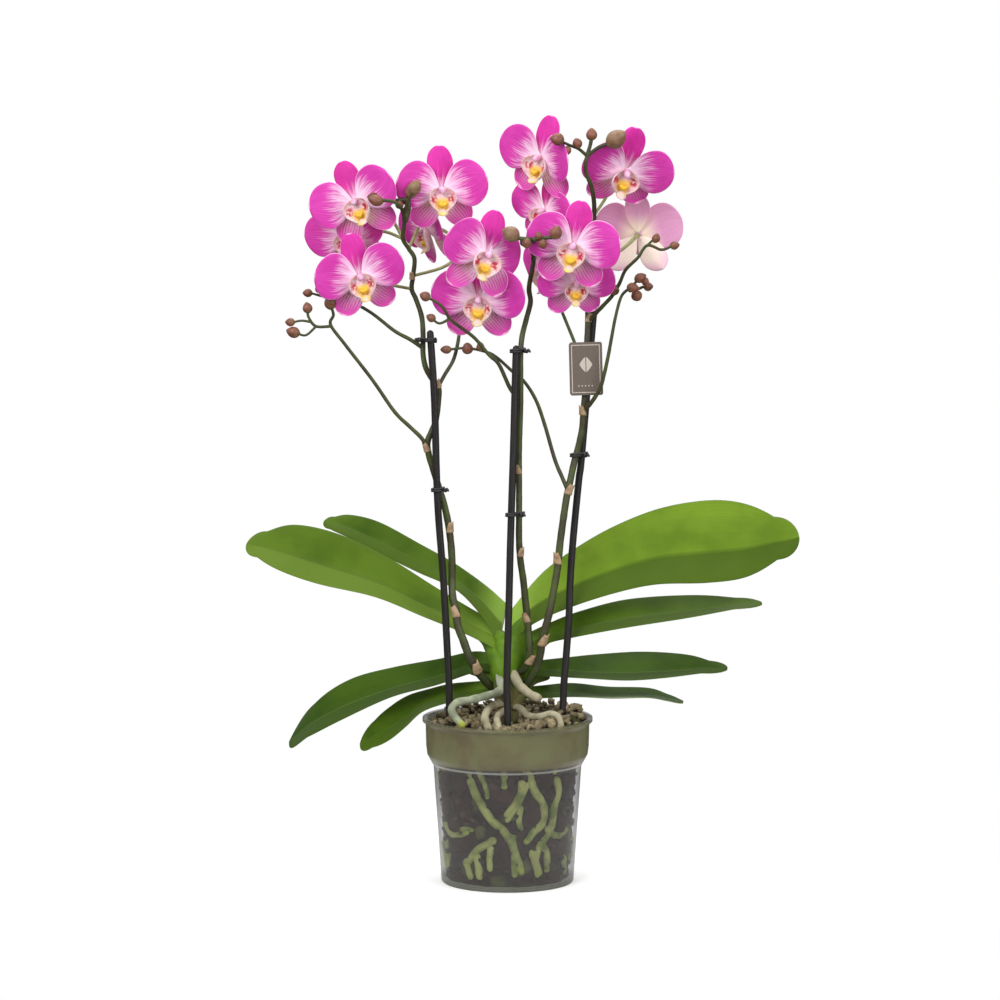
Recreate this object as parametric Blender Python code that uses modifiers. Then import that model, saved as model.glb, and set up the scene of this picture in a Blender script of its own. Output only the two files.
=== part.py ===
"""A moth orchid in a clear growing pot: eight leaves, three stakes, three flower spikes and fourteen flowers."""

import math

import bmesh
import bpy
import numpy as np
from mathutils import Euler
from mathutils import Matrix
from mathutils import Vector

MM = 0.001
GAP = 0.35
UP = Vector((0, 0, 1))

# Pot, millimetres: outer profile from the foot to the flange as (radius, height).
POT_OUTER = [
    (46.0, 0.0),
    (46.8, 1.2),
    (52.2, 83.0),
    (56.6, 91.0),
    (57.4, 97.0),
    (57.8, 113.6),
    (60.0, 114.6),
    (60.0, 117.0),
]
POT_INNER = [
    (56.6, 117.0),
    (56.2, 97.0),
    (55.4, 91.8),
    (51.0, 84.0),
    (45.6, 2.0),
]
POT_SIDES = 32
DRAIN_RADIUS = 4.0
DRAIN_CIRCLE = 28.0
DRAIN_COUNT = 6

# Growing mix: it fills the pot to a few millimetres under the flange.
MIX_SIDES = 32
MIX_LEVEL = 110.0
MIX_RINGS = 6
MIX_LUMPS = [
    (42.0, -4.0, 15.0, 12.0),
    (-36.0, -30.0, 14.0, 5.0),
    (10.0, 34.0, 20.0, 4.0),
    (-46.0, 6.0, 12.0, -4.0),
    (20.0, -38.0, 12.0, 4.0),
]

CROWN_CENTRE = (0.0, 8.0)
CROWN_PROFILE = [
    (0.6, 202.0),
    (4.0, 197.0),
    (8.0, 185.0),
    (10.8, 170.0),
    (12.2, 152.0),
    (12.0, 136.0),
    (10.0, 118.0),
    (8.0, 100.0),
]
CROWN_SIDES = 12

LEAF_THICK = 2.2
LEAF_FOLD = 0.10
# Each leaf: stations from the stem to the tip, as (front edge, back edge), then the tip.
LEAVES = {
    "leaf_left_1": [
        ((-4, 0, 163), (-4, 16, 180)),
        ((-30, 1, 176), (-24, 22, 190)),
        ((-60, 0, 188), (-50, 30, 205)),
        ((-93, -3, 202), (-84, 34, 226)),
        ((-132, -5, 212), (-119, 36, 242)),
        ((-160, -5, 222), (-150, 33, 249)),
        ((-176, 2, 230), (-170, 23, 246)),
        ((-184, 10, 238), (-184, 12, 239)),
    ],
    "leaf_left_2": [
        ((-2, 8, 184), (-1, 18, 196)),
        ((-22, 17, 195), (-16, 30, 207)),
        ((-38, 29, 204), (-38, 45, 221)),
        ((-64, 43, 214), (-62, 57, 233)),
        ((-92, 52, 227), (-91, 68, 247)),
        ((-115, 58, 238), (-112, 72, 252)),
        ((-127, 62, 243), (-124, 71, 251)),
        ((-132, 66, 247), (-132, 68, 248)),
    ],
    "leaf_left_3": [
        ((-4, 1, 147), (-4, 16, 158)),
        ((-20, 1, 149), (-23, 18, 161)),
        ((-50, 1, 139), (-48, 26, 155)),
        ((-83, -4, 131), (-80, 32, 148)),
        ((-118, -9, 116), (-112, 28, 139)),
        ((-141, -10, 104), (-137, 20, 123)),
        ((-154, 1, 97), (-154, 3, 99)),
    ],
    "leaf_left_4": [
        ((-4, 2, 134), (-4, 15, 141)),
        ((-24, 0, 131), (-23, 14, 140)),
        ((-42, -2, 127), (-41, 18, 138)),
        ((-60, -5, 121), (-56, 20, 134)),
        ((-72, -9, 111), (-70, 22, 129)),
        ((-84, -12, 102), (-82, 18, 122)),
        ((-95, -12, 97), (-94, 8, 113)),
        ((-104, -7, 97), (-104, -5, 99)),
    ],
    "leaf_right_1": [
        ((4, 0, 172), (2, 16, 190)),
        ((20, 1, 184), (24, 27, 215)),
        ((44, 1, 194), (48, 33, 233)),
        ((75, 0, 204), (76, 36, 249)),
        ((105, -1, 211), (108, 37, 261)),
        ((140, -2, 213), (142, 37, 266)),
        ((168, -1, 217), (168, 34, 264)),
        ((190, 4, 228), (189, 26, 256)),
        ((206, 14, 242), (206, 16, 243)),
    ],
    "leaf_right_2": [
        ((4, 1, 159), (4, 15, 169)),
        ((28, 0, 169), (30, 14, 182)),
        ((46, 0, 173), (52, 20, 190)),
        ((86, -2, 181), (85, 28, 197)),
        ((128, -1, 188), (130, 32, 199)),
        ((160, 5, 193), (162, 27, 198)),
        ((180, 14, 195), (180, 17, 196)),
    ],
    "leaf_right_3": [
        ((4, 2, 145), (4, 15, 152)),
        ((24, 0, 146), (22, 14, 155)),
        ((42, -2, 145), (45, 20, 157)),
        ((60, -9, 145), (62, 26, 158)),
        ((84, -13, 145), (94, 29, 159)),
        ((110, -13, 147), (126, 21, 158)),
        ((136, -7, 149), (143, 13, 155)),
        ((155, 2, 150), (155, 4, 151)),
    ],
    "leaf_right_4": [
        ((4, 3, 129), (4, 15, 135)),
        ((24, 1, 130), (22, 14, 137)),
        ((44, 0, 131), (46, 22, 138)),
        ((72, 0, 131), (72, 30, 134)),
        ((99, 9, 130), (100, 35, 132)),
        ((115, 15, 126), (114, 33, 128)),
        ((125, 24, 123), (125, 26, 124)),
    ],
}

STAKE_RADIUS = 2.5
STAKES = {
    "stake_left": [(-40.5, -10, 14), (-41, -10, 130), (-42, -10, 159), (-45, -10, 216), (-49, -11, 272),
                   (-51, -12, 342), (-54, -12, 391)],
    "stake_middle": [(-1, -26, 12), (0, -28, 114), (-0.5, -27, 147), (1, -26, 203), (2, -25, 245), (4, -23, 308),
                     (5, -21, 347), (6, -20, 381)],
    "stake_right": [(37.5, -10, 14), (39, -9, 124), (41, -7.5, 158), (43, -6, 186), (44, -4, 214), (46, -2, 243),
                    (50, 0, 285), (52, 1, 302), (59, 6, 387), (60.5, 7, 404), (62, 8, 427)],
}

ROOT_AERIAL = {
    "root_aerial_1": ([(-2, 3, 137), (-5, -8, 137), (-10, -15, 135.5), (-17, -21, 134.5), (-26, -26, 133),
                       (-35, -31, 132), (-39, -35, 128), (-36, -38, 122), (-30, -41, 116)], 3.0),
    "root_aerial_2": ([(3, 3, 152), (5, -6, 147), (8, -13, 142), (13, -19, 138), (19, -24, 135), (24, -26, 134)], 2.9),
    "root_aerial_3": ([(-3, 2, 127), (-8, -7, 127), (-13, -18, 125.5), (-16, -28, 121), (-14, -38, 116),
                       (-11, -44, 107)], 3.0),
    "root_aerial_4": ([(0, 3, 122), (-3, -7, 122), (-5, -17, 122), (-7.5, -27, 120), (-6, -38, 115),
                       (-3, -46, 106)], 2.7),
    "root_aerial_5": ([(4, 3, 124), (9, -7, 124), (14, -18, 121), (22, -28, 121.5), (30, -31, 124), (36, -33, 121),
                       (38, -36, 110)], 2.6),
}
# Roots against the wall of the pot: (x, z) of each point, and the radius.
ROOT_WALL = {
    "root_wall_1": ([(-26, 81), (-23, 71), (-17, 60), (-11, 51), (-4, 45), (1, 38), (6, 26), (10, 12)], 2.6),
    "root_wall_2": ([(15.5, 80), (19, 71), (25, 60), (24, 48), (17, 41), (12, 34)], 2.5),
    "root_wall_3": ([(10, 80), (9, 70), (3, 60), (-2, 54)], 2.2),
    "root_wall_4": ([(-8, 38), (-14, 34), (-22, 28), (-28, 18)], 2.4),
    "root_wall_5": ([(33, 80), (35, 70), (32, 58), (30, 44), (20, 26), (22, 10)], 2.6),
}

# Spikes: runs of points with a radius at each end. The first run starts at the stem.
SPIKES = {
    "spike_left": [
        ([(-5, 5, 134), (-12, 0, 139), (-17, -5, 145), (-22, -9, 152), (-27, -12, 162), (-31, -12, 173),
          (-35, -12, 184), (-36, -10, 194), (-38.5, -8, 203), (-39, -5, 215), (-39, -4.5, 229), (-40, -4.5, 243),
          (-42, -4.5, 257), (-45, -5, 270), (-49, -5.5, 283), (-52, -6, 293), (-55, -6, 303), (-56, -6, 312),
          (-53, -6, 320), (-50, -6, 328), (-48, -6, 346), (-49, -6, 352), (-53, -6, 357), (-57, -6, 364),
          (-59, -5, 374), (-59, -4, 388), (-60, -3, 400), (-64, -1, 412), (-67, 1, 419), (-66, 2, 428),
          (-65, 2, 440), (-69, 2, 447), (-73, 0, 454), (-72, -8, 463), (-72, -18, 471), (-74, -25, 477),
          (-79, -29, 481), (-87, -31, 482)], 3.1, 1.2),
        ([(-55, -6, 306), (-60, -8, 315), (-68, -9, 323), (-79, -10, 334), (-94, -12, 356), (-113, -14, 381),
          (-123, -16, 395), (-121, -17, 402), (-123, -18, 409)], 1.5, 1.0),
        ([(-122, -16, 394), (-133, -17, 394), (-138, -18, 400), (-139, -18, 405)], 1.1, 0.9),
        ([(-136, -18, 397), (-143, -18, 398), (-149, -19, 397)], 0.9, 0.8),
        ([(-133, -17, 394), (-140, -18, 388), (-146, -18, 389)], 0.9, 0.8),
        ([(-59, -5, 378), (-68, -5, 384), (-79, -4, 390), (-96, -2, 403), (-113, -6, 412), (-126, -12, 414),
          (-137, -14, 417)], 1.5, 0.8),
        ([(-125.2, -11.6, 413.4), (-130, -14, 419)], 0.95, 0.8),
        ([(-72.4, -19.6, 472.2), (-68, -26, 483), (-65, -28, 489)], 1.15, 0.9),
        ([(-49, -6, 350), (-44, -2, 359), (-38, 2, 369), (-35, 4, 380), (-33, 7, 390), (-27, 8, 402),
          (-19, 6, 414), (-12, 0, 426)], 1.4, 1.1),
    ],
    "spike_middle": [
        ([(3, 4, 146), (8, -2, 149), (13, -9, 154), (15.5, -12, 163), (14.5, -12, 181), (12.5, -12, 201),
          (11, -14, 216), (9, -16, 230), (8, -19, 245), (8, -19, 263), (8, -18, 285), (8, -17, 308), (9, -16, 342),
          (9, -14, 372), (10, -11, 386), (13, -5, 398), (16, 0, 410), (15, 1, 420), (18, 2, 438), (18, 4, 448),
          (27, 22, 455), (38, 33, 464), (40, 31, 478), (37, 24, 492), (32, 13, 502)], 2.8, 1.3),
        ([(9, -15, 342), (2, -13, 350), (-6, -12, 367), (-13, -14, 374), (-23, -18, 386), (-33, -23, 394),
          (-40, -28, 400), (-44, -31, 407), (-48, -33, 411), (-55, -34, 415)], 1.5, 0.9),
        ([(-40, -28, 400), (-47, -31, 397), (-52, -33, 400)], 1.0, 0.8),
        ([(18, 4, 448), (12, -5, 454), (1, -14, 456)], 1.2, 1.0),
        ([(18, 4, 448), (24, -5, 452), (29, -9, 455), (32, -12, 458)], 1.2, 0.9),
    ],
    "spike_right": [
        ([(5, 5, 134), (10, -1, 137), (15, -6, 143), (20, -10, 153), (23, -13, 164), (24.5, -15, 175),
          (28, -16, 188), (31, -15, 202), (35, -13, 225), (37, -12, 244), (41, -10, 272), (44, -8, 286),
          (47, -6.5, 300), (49, -6, 307), (52, -6, 321), (53, -6, 334), (54, -5.5, 346), (55, -4, 366),
          (55.5, -2.5, 384), (56, -1, 396), (56, 1, 408), (57, 3, 422), (58, 6, 438), (60, 8, 455), (60.5, 6, 470),
          (60, -3, 481), (58, -11, 491), (54, -15, 502), (55, -16, 512), (57, -16, 519), (58, -16, 524)], 3.1, 1.3),
        ([(55, -16, 512), (49, -20, 517), (42, -27, 520), (36, -31, 523)], 1.2, 0.9),
        ([(55, -16, 512), (63, -18, 518), (72, -20, 521)], 1.3, 1.2),
        ([(53, -6, 334), (58, -12, 340), (64, -16, 350), (67, -17, 360), (70, -18, 374), (72, -18, 385),
          (75, -18, 401), (79, -18, 415), (85, -19, 421), (91, -20, 427)], 1.6, 0.9),
        ([(56, -1, 396), (64, -6, 405), (73, -9, 415), (78, -11, 424), (82, -12, 433), (90, -13, 441),
          (97, -13, 450), (107, -13, 447), (115, -13, 450)], 1.5, 0.9),
        ([(97, -13, 450), (101, -13, 454)], 0.9, 0.8),
        ([(42, -9.5, 279), (38, -7, 288), (33, -4, 300), (26, -2, 324), (20, -3, 341), (12, -4, 354),
          (3, -5, 362), (-7, -5, 371), (-14, -5, 375), (-28, -6, 378), (-42, -6, 377)], 1.5, 0.9),
        ([(55, -4, 366), (50, 0, 374), (45, 3, 386), (38, 4, 403)], 1.3, 1.1),
    ],
}
# Buds: (centre, length, width, direction of the tip).
BUDS = {
    "spike_left": [
        ((-91, -31, 482), 11, 8, (-1, -0.3, 0.3)), ((-64, -28, 491), 12, 9, (0.6, -0.3, 1)),
        ((-123, -18, 411), 11, 9, (0, -0.2, 1)), ((-139, -18, 407), 8, 7, (-0.2, 0, 1)),
        ((-151, -19, 397), 7, 6, (-1, 0, 0)), ((-149, -18, 390), 10, 8, (-1, 0, 0.3)),
        ((-139, -14, 417), 7, 6, (-1, 0, 0)), ((-131, -14, 420), 7, 6, (-0.5, 0, 1)),
    ],
    "spike_middle": [
        ((-57, -35, 416), 8, 7, (-1, 0, 0.4)), ((-53, -33, 401), 7, 6, (-1, 0, 0.5)),
        ((0, -15, 456), 13, 11, (-1, -0.3, 0.4)), ((12, -9, 452), 9, 7, (0.2, -1, 0)),
        ((32, -12, 459), 11, 9, (0.6, -0.4, 1)), ((26, -9, 450), 8, 7, (0.2, -1, -0.4)),
    ],
    "spike_right": [
        ((34, -32, 524), 10, 9, (-1, -0.3, 0.2)), ((48, -21, 521), 8, 7, (-0.3, -0.6, 1)),
        ((58, -16, 527), 9, 8, (0, -0.2, 1)), ((75, -20, 524), 16, 13, (0.8, -0.2, 0.6)),
        ((92, -20, 428), 9, 7, (1, 0, 0.5)), ((87, -20, 421), 9, 7, (1, 0, -0.2)),
        ((103, -13, 455), 7, 6, (0.4, 0, 1)), ((116, -13, 450), 7, 6, (1, 0, 0.2)),
        ((-28, -6, 378), 9, 8, (0, -0.6, 1)), ((-43, -6, 377), 8, 6, (-1, 0, 0)),
        ((-19, -6, 379), 7, 6, (0, 0, 1)), ((74, -10, 419), 9, 8, (0.3, -1, 0.2)),
    ],
}

# Flowers: centre, turn about Z, tilt (face down is positive), roll, size, and changes of rake by tepal.
# Then the spike that carries it and the points of its own stalk.
FLOWERS = {
    "flower_01": ((-105, -10, 479), -8, 4, 22, 1.0, {}, "spike_left", [(-73, 0, 454), (-80, 4, 466), (-92, 4, 477)]),
    "flower_02": ((-112, 20, 455), -20, 10, 15, 0.95, {}, "spike_left", [(-73, 0, 454), (-85, 16, 458), (-98, 30, 458)]),
    "flower_03": ((-102, -24, 428), 6, 8, 14, 1.0, {}, "spike_left", [(-67, 1, 419), (-82, -3, 422), (-92, -8, 424)]),
    "flower_04": ((-46, -4, 487), 6, 6, 2, 1.02, {}, "spike_left", [(-69, 2, 447), (-62, 11, 462), (-50, 12, 483)]),
    "flower_05": ((-56, 32, 458), -58, 14, 10, 0.92, {}, "spike_left", [(-66, 2, 428), (-44, 14, 434), (-33, 32, 444), (-42, 39, 456)]),
    "flower_06": ((-15, -46, 444), 14, 6, -16, 1.04, {"petal_r": 38}, "spike_left",
                  [(-14, 1.6, 422.5), (-10.5, -1, 428.5), (-5, -9, 437), (-9, -26, 444)]),
    "flower_07": ((-20, -21, 412), -6, 10, -2, 1.04, {}, "spike_left", [(-19, 6, 414), (-18, 1, 417), (-19, -5, 415)]),
    "flower_08": ((45, -46, 450), -8, 6, -10, 1.04, {}, "spike_right", [(60, 8, 455), (54, -8, 458), (48, -26, 457)]),
    "flower_09": ((28, 12, 430), -68, 10, 0, 0.9, {}, "spike_right", [(38, 4, 403), (44, 10, 412), (43, 16, 424)]),
    "flower_10": ((47, -19, 423), 6, 14, 0, 0.86, {}, "spike_right", [(57, 3, 422), (54, 1, 425), (50, -2, 426)]),
    "flower_11": ((23, -3, 509), -32, 6, -12, 1.0, {"petal_r": -14}, "spike_middle",
                  [(32, 14, 502), (31, 10, 507)]),
    "flower_12": ((26, 14, 472), -38, 8, -14, 0.84, {}, "spike_middle", [(39, 31, 474), (36, 26, 474)]),
    "flower_13": ((82, 4, 500), 8, 26, -12, 1.04, {}, "spike_right", [(60.5, 6, 470), (70, 17, 484), (79, 19, 502)]),
    "flower_14": ((92, 38, 455), 172, -4, 0, 1.0, {}, "spike_right", [(58, 6, 438), (73, 6, 442), (84, 14, 449)]),
}
# Tepals: angle, length, width, backward rake in degrees, curl at the tip, cup at the sides, depth of the base.
TEPALS = {
    "sepal_top": (90.3, 31, 19, 7, 1.0, 1.2, 1.25),
    "sepal_l": (-128.6, 30, 18, 7, 1.0, 1.2, 1.15),
    "sepal_r": (-51.7, 30, 18, 8, 1.0, 1.2, 2.65),
    "petal_l": (167.8, 32, 31, -5, -1.2, 0.4, -0.85),
    "petal_r": (11.7, 32, 31, -5, -1.2, 0.4, -0.95),
}
TEPAL_THICK = 1.1
FLOWER_BACK = 4.0

TAG_SIZE = (23.4, 0.8, 37.5)
TAG_CENTRE = (54.6, -11.0, 364.0)
TAG_TURN = (0, -1.6, -4)
RING_WIRE = 0.9
HOOP_POINTS = 14
# Ties: height, the stake and the spike that each holds.
CLIPS = {
    "clip_left_low": (279, "stake_left", "spike_left"),
    "clip_left_top": (384, "stake_left", "spike_left"),
    "clip_middle_low": (263, "stake_middle", "spike_middle"),
    "clip_middle_top": (377, "stake_middle", "spike_middle"),
    "clip_right_low": (303, "stake_right", "spike_right"),
    "clip_tag": (378, None, "spike_right"),
}

COLOURS = {
    "clear_plastic": ((0.62, 0.64, 0.56), 0.2, 0.35),
    "bark": ((0.10, 0.06, 0.04), 0.9, 1.0),
    "root": ((0.62, 0.66, 0.52), 0.8, 1.0),
    "root_green": ((0.30, 0.38, 0.16), 0.7, 1.0),
    "stem_green": ((0.25, 0.42, 0.09), 0.5, 1.0),
    "leaf": ((0.11, 0.27, 0.04), 0.35, 1.0),
    "stake": ((0.02, 0.018, 0.02), 0.5, 1.0),
    "spike": ((0.10, 0.15, 0.05), 0.6, 1.0),
    "petal": ((0.68, 0.05, 0.36), 0.5, 1.0),
    "tag": ((0.14, 0.10, 0.08), 0.7, 1.0),
    "wire": ((0.01, 0.01, 0.01), 0.5, 1.0),
}


def clear_scene():
    for obj in list(bpy.data.objects):
        bpy.data.objects.remove(obj, do_unlink=True)


def new_collection(name, visible=True):
    made = bpy.data.collections.new(name)
    bpy.context.scene.collection.children.link(made)
    made.hide_render = not visible
    return made


def new_material(name):
    colour, roughness, alpha = COLOURS[name]
    made = bpy.data.materials.new(name)
    made.use_nodes = True
    shader = made.node_tree.nodes["Principled BSDF"]
    shader.inputs["Base Color"].default_value = (*colour, 1)
    shader.inputs["Roughness"].default_value = roughness
    shader.inputs["Metallic"].default_value = 0.0
    shader.inputs["Alpha"].default_value = alpha
    return made


def evaluated_mesh(obj):
    graph = bpy.context.evaluated_depsgraph_get()
    return bpy.data.meshes.new_from_object(obj.evaluated_get(graph))


def weld(mesh, distance=0.00002):
    """Joins the points that meet, drops what has no area, and turns every face outward."""
    work = bmesh.new()
    work.from_mesh(mesh)
    bmesh.ops.remove_doubles(work, verts=work.verts, dist=distance)
    bmesh.ops.dissolve_degenerate(work, edges=work.edges, dist=distance)
    bmesh.ops.recalc_face_normals(work, faces=work.faces)
    work.to_mesh(mesh)
    work.free()


def solid(name, mesh, home):
    made = bpy.data.objects.new(name, mesh)
    home.objects.link(made)
    return made


def baked(obj, name=None, home=None):
    """The object again as a plain mesh, with its modifiers worked out."""
    mesh = evaluated_mesh(obj)
    weld(mesh)
    made = solid(name or obj.name + "_mesh", mesh, home or HELPERS)
    bpy.data.objects.remove(obj, do_unlink=True)
    return made


def boolean(name, base, others, operation):
    """The base joined with, or cut by, all the others in one exact Boolean."""
    tools = bpy.data.collections.new(name + "_tools")
    HELPERS.children.link(tools)
    for other in others:
        other.display_type = "WIRE"
        other.hide_render = True
        tools.objects.link(other)
    step = base.modifiers.new("join", "BOOLEAN")
    step.operation = operation
    step.solver = "EXACT"
    step.operand_type = "COLLECTION"
    step.collection = tools
    made = baked(base, name)
    for other in others:
        bpy.data.objects.remove(other, do_unlink=True)
    bpy.data.collections.remove(tools)
    return made


def finish(obj, name, material):
    """Moves a finished solid into the plant's own collection with its material."""
    obj.name = name
    obj.data.name = name
    for home in list(obj.users_collection):
        home.objects.unlink(obj)
    PLANT.objects.link(obj)
    obj.data.materials.clear()
    obj.data.materials.append(MATERIALS[material])
    for face in obj.data.polygons:
        face.use_smooth = False
    return obj


def lathe(name, profile, sides, centre=(0, 0)):
    """Turns a profile of (radius, height) about a vertical axis; it runs top to bottom on the outer side."""
    mesh = bpy.data.meshes.new(name)
    points = [(radius * MM, 0, height * MM) for radius, height in profile]
    mesh.from_pydata(points, [(k, k + 1) for k in range(len(points) - 1)], [])
    made = solid(name, mesh, HELPERS)
    turn = made.modifiers.new("turn", "SCREW")
    turn.steps = sides
    turn.render_steps = sides
    turn.use_merge_vertices = True
    turn.merge_threshold = 0.00005
    made.location = (centre[0] * MM, centre[1] * MM, 0)
    return made


def tube(name, points, radii, resolution=1):
    """A round bar along points, with a radius at each."""
    curve = bpy.data.curves.new(name, "CURVE")
    curve.dimensions = "3D"
    curve.bevel_depth = MM
    curve.bevel_resolution = resolution
    curve.use_fill_caps = True
    line = curve.splines.new("POLY")
    line.points.add(len(points) - 1)
    for spot, point, radius in zip(line.points, points, radii):
        spot.co = (*(value * MM for value in point), 1)
        spot.radius = radius
    return baked(solid(name, curve, HELPERS))


def tapered(name, points, first, last, extra=0.0, resolution=1):
    radii = np.linspace(first, last, len(points)) + extra
    return tube(name, points, radii, resolution)


def ellipsoid(name, centre, size, direction=(0, 0, 1), segments=8, rings=6):
    """A long round body whose Z axis points along the direction; size is (across, across, along)."""
    work = bmesh.new()
    bmesh.ops.create_uvsphere(work, u_segments=segments, v_segments=rings, radius=0.5)
    turn = UP.rotation_difference(Vector(direction)).to_matrix().to_4x4()
    grow = Matrix.Diagonal((*(side * MM for side in size), 1))
    place = Matrix.Translation(Vector(centre) * MM)
    bmesh.ops.transform(work, matrix=place @ turn @ grow, verts=work.verts)
    mesh = bpy.data.meshes.new(name)
    work.to_mesh(mesh)
    work.free()
    return solid(name, mesh, HELPERS)


def sheet(name, along, across, shape, thick):
    """A grid of the unit square moved by shape(s, t) in millimetres, then thickened on both sides."""
    work = bmesh.new()
    bmesh.ops.create_grid(work, x_segments=along, y_segments=across, size=0.5)
    for vert in work.verts:
        vert.co = Vector(shape(vert.co.x + 0.5, vert.co.y + 0.5)) * MM
    mesh = bpy.data.meshes.new(name)
    work.to_mesh(mesh)
    work.free()
    made = solid(name, mesh, HELPERS)
    skin = made.modifiers.new("skin", "SOLIDIFY")
    skin.thickness = thick * MM
    skin.offset = 0.0
    return baked(made)


def between(rows, place):
    """A smooth point between rows (Catmull-Rom), for place from 0 at the first to 1 at the last."""
    rows = np.asarray(rows, float)
    spot = min(max(place, 0.0), 1.0) * (len(rows) - 1)
    start = min(int(spot), len(rows) - 2)
    part = spot - start
    p1 = rows[start]
    p2 = rows[start + 1]
    p0 = rows[start - 1] if start > 0 else 2 * p1 - p2
    p3 = rows[start + 2] if start + 2 < len(rows) else 2 * p2 - p1
    return 0.5 * (2 * p1 + (p2 - p0) * part + (2 * p0 - 5 * p1 + 4 * p2 - p3) * part**2
                  + (3 * p1 - p0 - 3 * p2 + p3) * part**3)


def leaf(name, stations):
    front = [row[0] for row in stations]
    back = [row[1] for row in stations]

    def shape(along, across):
        low = between(front, along)
        high = between(back, along)
        width = np.linalg.norm(high - low)
        down = -math.sin(math.pi * across) * LEAF_FOLD * width
        return low + (high - low) * across + np.array((0, 0, down))

    return sheet(name, 2 * (len(stations) - 1), 4, shape, LEAF_THICK)


def tepal(name, angle, length, width, rake, curl, cup, lift, frame):
    """One petal or sepal from the flower's centre outward, in the flower's own frame."""
    turn = math.radians(angle)
    out = np.array((math.cos(turn), 0, math.sin(turn)))
    side = np.array((-math.sin(turn), 0, math.cos(turn)))
    lean = math.radians(rake)

    def shape(along, across):
        reach = 1.2 + along * (length - 1.2)
        swell = math.sin(math.pi * min(along, 0.985) ** 0.92) ** 0.9
        half = 0.5 * width * max(swell, 0.14)
        depth = lift + reach * math.sin(lean) + (2 * curl * along + cup * (2 * across - 1) ** 2) * along
        point = out * reach * math.cos(lean) + side * (2 * across - 1) * half + np.array((0, depth, 0))
        return frame @ Vector(point)

    return sheet(name, 4, 2, shape, TEPAL_THICK)


def flower_frame(centre, turn, tilt, roll, size):
    """Places a flower that faces -Y: roll about its own axis, tilt its face down, then turn it about Z."""
    angles = Euler((math.radians(tilt), 0, 0)).to_matrix().to_4x4()
    spin = Matrix.Rotation(math.radians(-roll), 4, "Y")
    about = Matrix.Rotation(math.radians(turn), 4, "Z")
    return Matrix.Translation(Vector(centre)) @ about @ angles @ spin @ Matrix.Scale(size, 4)


def flower(name, row):
    frame = flower_frame(*row[:5])
    changes = row[5]
    heart = ellipsoid(name + "_heart", (0, 0.4, 0), (7.8, 7.8, 7.8), (0.3, 1, 0.2), 8, 5)
    heart.data.transform(Matrix.Scale(MM, 4) @ frame @ Matrix.Scale(1 / MM, 4))
    pieces = []
    for key, (angle, length, width, rake, curl, cup, lift) in TEPALS.items():
        lean = rake + changes.get(key, 0)
        pieces.append(tepal(name + key, angle, length, width, lean, curl, cup, lift, frame))
    for part, centre, size, way in (
        ("lip", (0.1, -5.6, -7.5), (13, 7, 17), (0.05, -0.55, -1)),
        ("column", (0.13, -5, 1.2), (4.6, 4.6, 11), (0.04, -1, 0.1)),
    ):
        body = ellipsoid(name + part, centre, size, way, 7, 4)
        body.data.transform(Matrix.Scale(MM, 4) @ frame @ Matrix.Scale(1 / MM, 4))
        pieces.append(body)
    made = boolean(name, heart, pieces, "UNION")
    return finish(made, name, "petal")


def stalk_points(row):
    """The flower's own stalk: it leaves the spike and ends a gap behind the flower's heart."""
    centre, turn, tilt, roll, size = row[:5]
    frame = flower_frame(centre, turn, tilt, roll, size)
    end = frame @ Vector((0, FLOWER_BACK + GAP / size, 0))
    before = frame @ Vector((0, FLOWER_BACK + GAP / size + 3.0, 0))
    return [*row[7], tuple(before), tuple(end)]


def rooted(points, order):
    """Starts a branch a hair off its parent's line, so that no two edges of the union coincide."""
    if order == 0:
        return points
    aside = np.array((0.13, -0.09, 0.11)) * (1 + 0.17 * order)
    return [tuple(np.array(points[0]) + aside), *points[1:]]


def spike(name):
    runs = SPIKES[name]
    pieces = [tapered(f"{name}_run{k}", rooted(run[0], k), *run[1:]) for k, run in enumerate(runs)]
    for key, row in FLOWERS.items():
        if row[6] == name:
            pieces.append(tapered(f"{name}_{key}", rooted(stalk_points(row), len(pieces)), 1.3, 1.5))
    for k, (centre, length, width, way) in enumerate(BUDS[name]):
        pieces.append(ellipsoid(f"{name}_bud{k}", centre, (width, width, length), way, 6, 5))
    made = boolean(name, pieces[0], pieces[1:], "UNION")
    return made


def crown_solid(extra=0.0):
    profile = [(radius + extra, height + (extra if k == 0 else 0)) for k, (radius, height) in enumerate(CROWN_PROFILE)]
    top = [(0, profile[0][1])]
    foot = [(0, CROWN_PROFILE[-1][1] - extra)]
    profile[-1] = (profile[-1][0], CROWN_PROFILE[-1][1] - extra)
    return baked(lathe("crown", top + profile + foot, CROWN_SIDES, CROWN_CENTRE))


def pot_radius_inside(height):
    heights = [row[1] for row in reversed(POT_INNER)]
    radii = [row[0] for row in reversed(POT_INNER)]
    return float(np.interp(height, heights, radii))


def wall_points(rows, radius):
    """Points at the inside of the pot's wall for each (x, z)."""
    made = []
    for across, height in rows:
        reach = pot_radius_inside(height) - 0.55 - radius
        made.append((across, -math.sqrt(reach**2 - across**2), height))
    return made


def build_pot():
    profile = list(reversed(POT_OUTER)) + [(0, 0)]
    outer = baked(lathe("pot_outer", [(0, 117.0)] + profile, POT_SIDES))
    cutter_profile = [(0, 120.0), (POT_INNER[0][0], 120.0)] + POT_INNER + [(0, POT_INNER[-1][1])]
    cutters = [baked(lathe("pot_hollow", cutter_profile, POT_SIDES))]
    for k in range(DRAIN_COUNT):
        turn = 2 * math.pi * (k + 0.5) / DRAIN_COUNT
        spot = (DRAIN_CIRCLE * math.cos(turn), DRAIN_CIRCLE * math.sin(turn))
        ends = [(*spot, -2), (*spot, 5)]
        cutters.append(tube(f"drain{k}", ends, [DRAIN_RADIUS, DRAIN_RADIUS], 2))
    return finish(boolean("pot", outer, cutters, "DIFFERENCE"), "pot", "clear_plastic")


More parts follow.
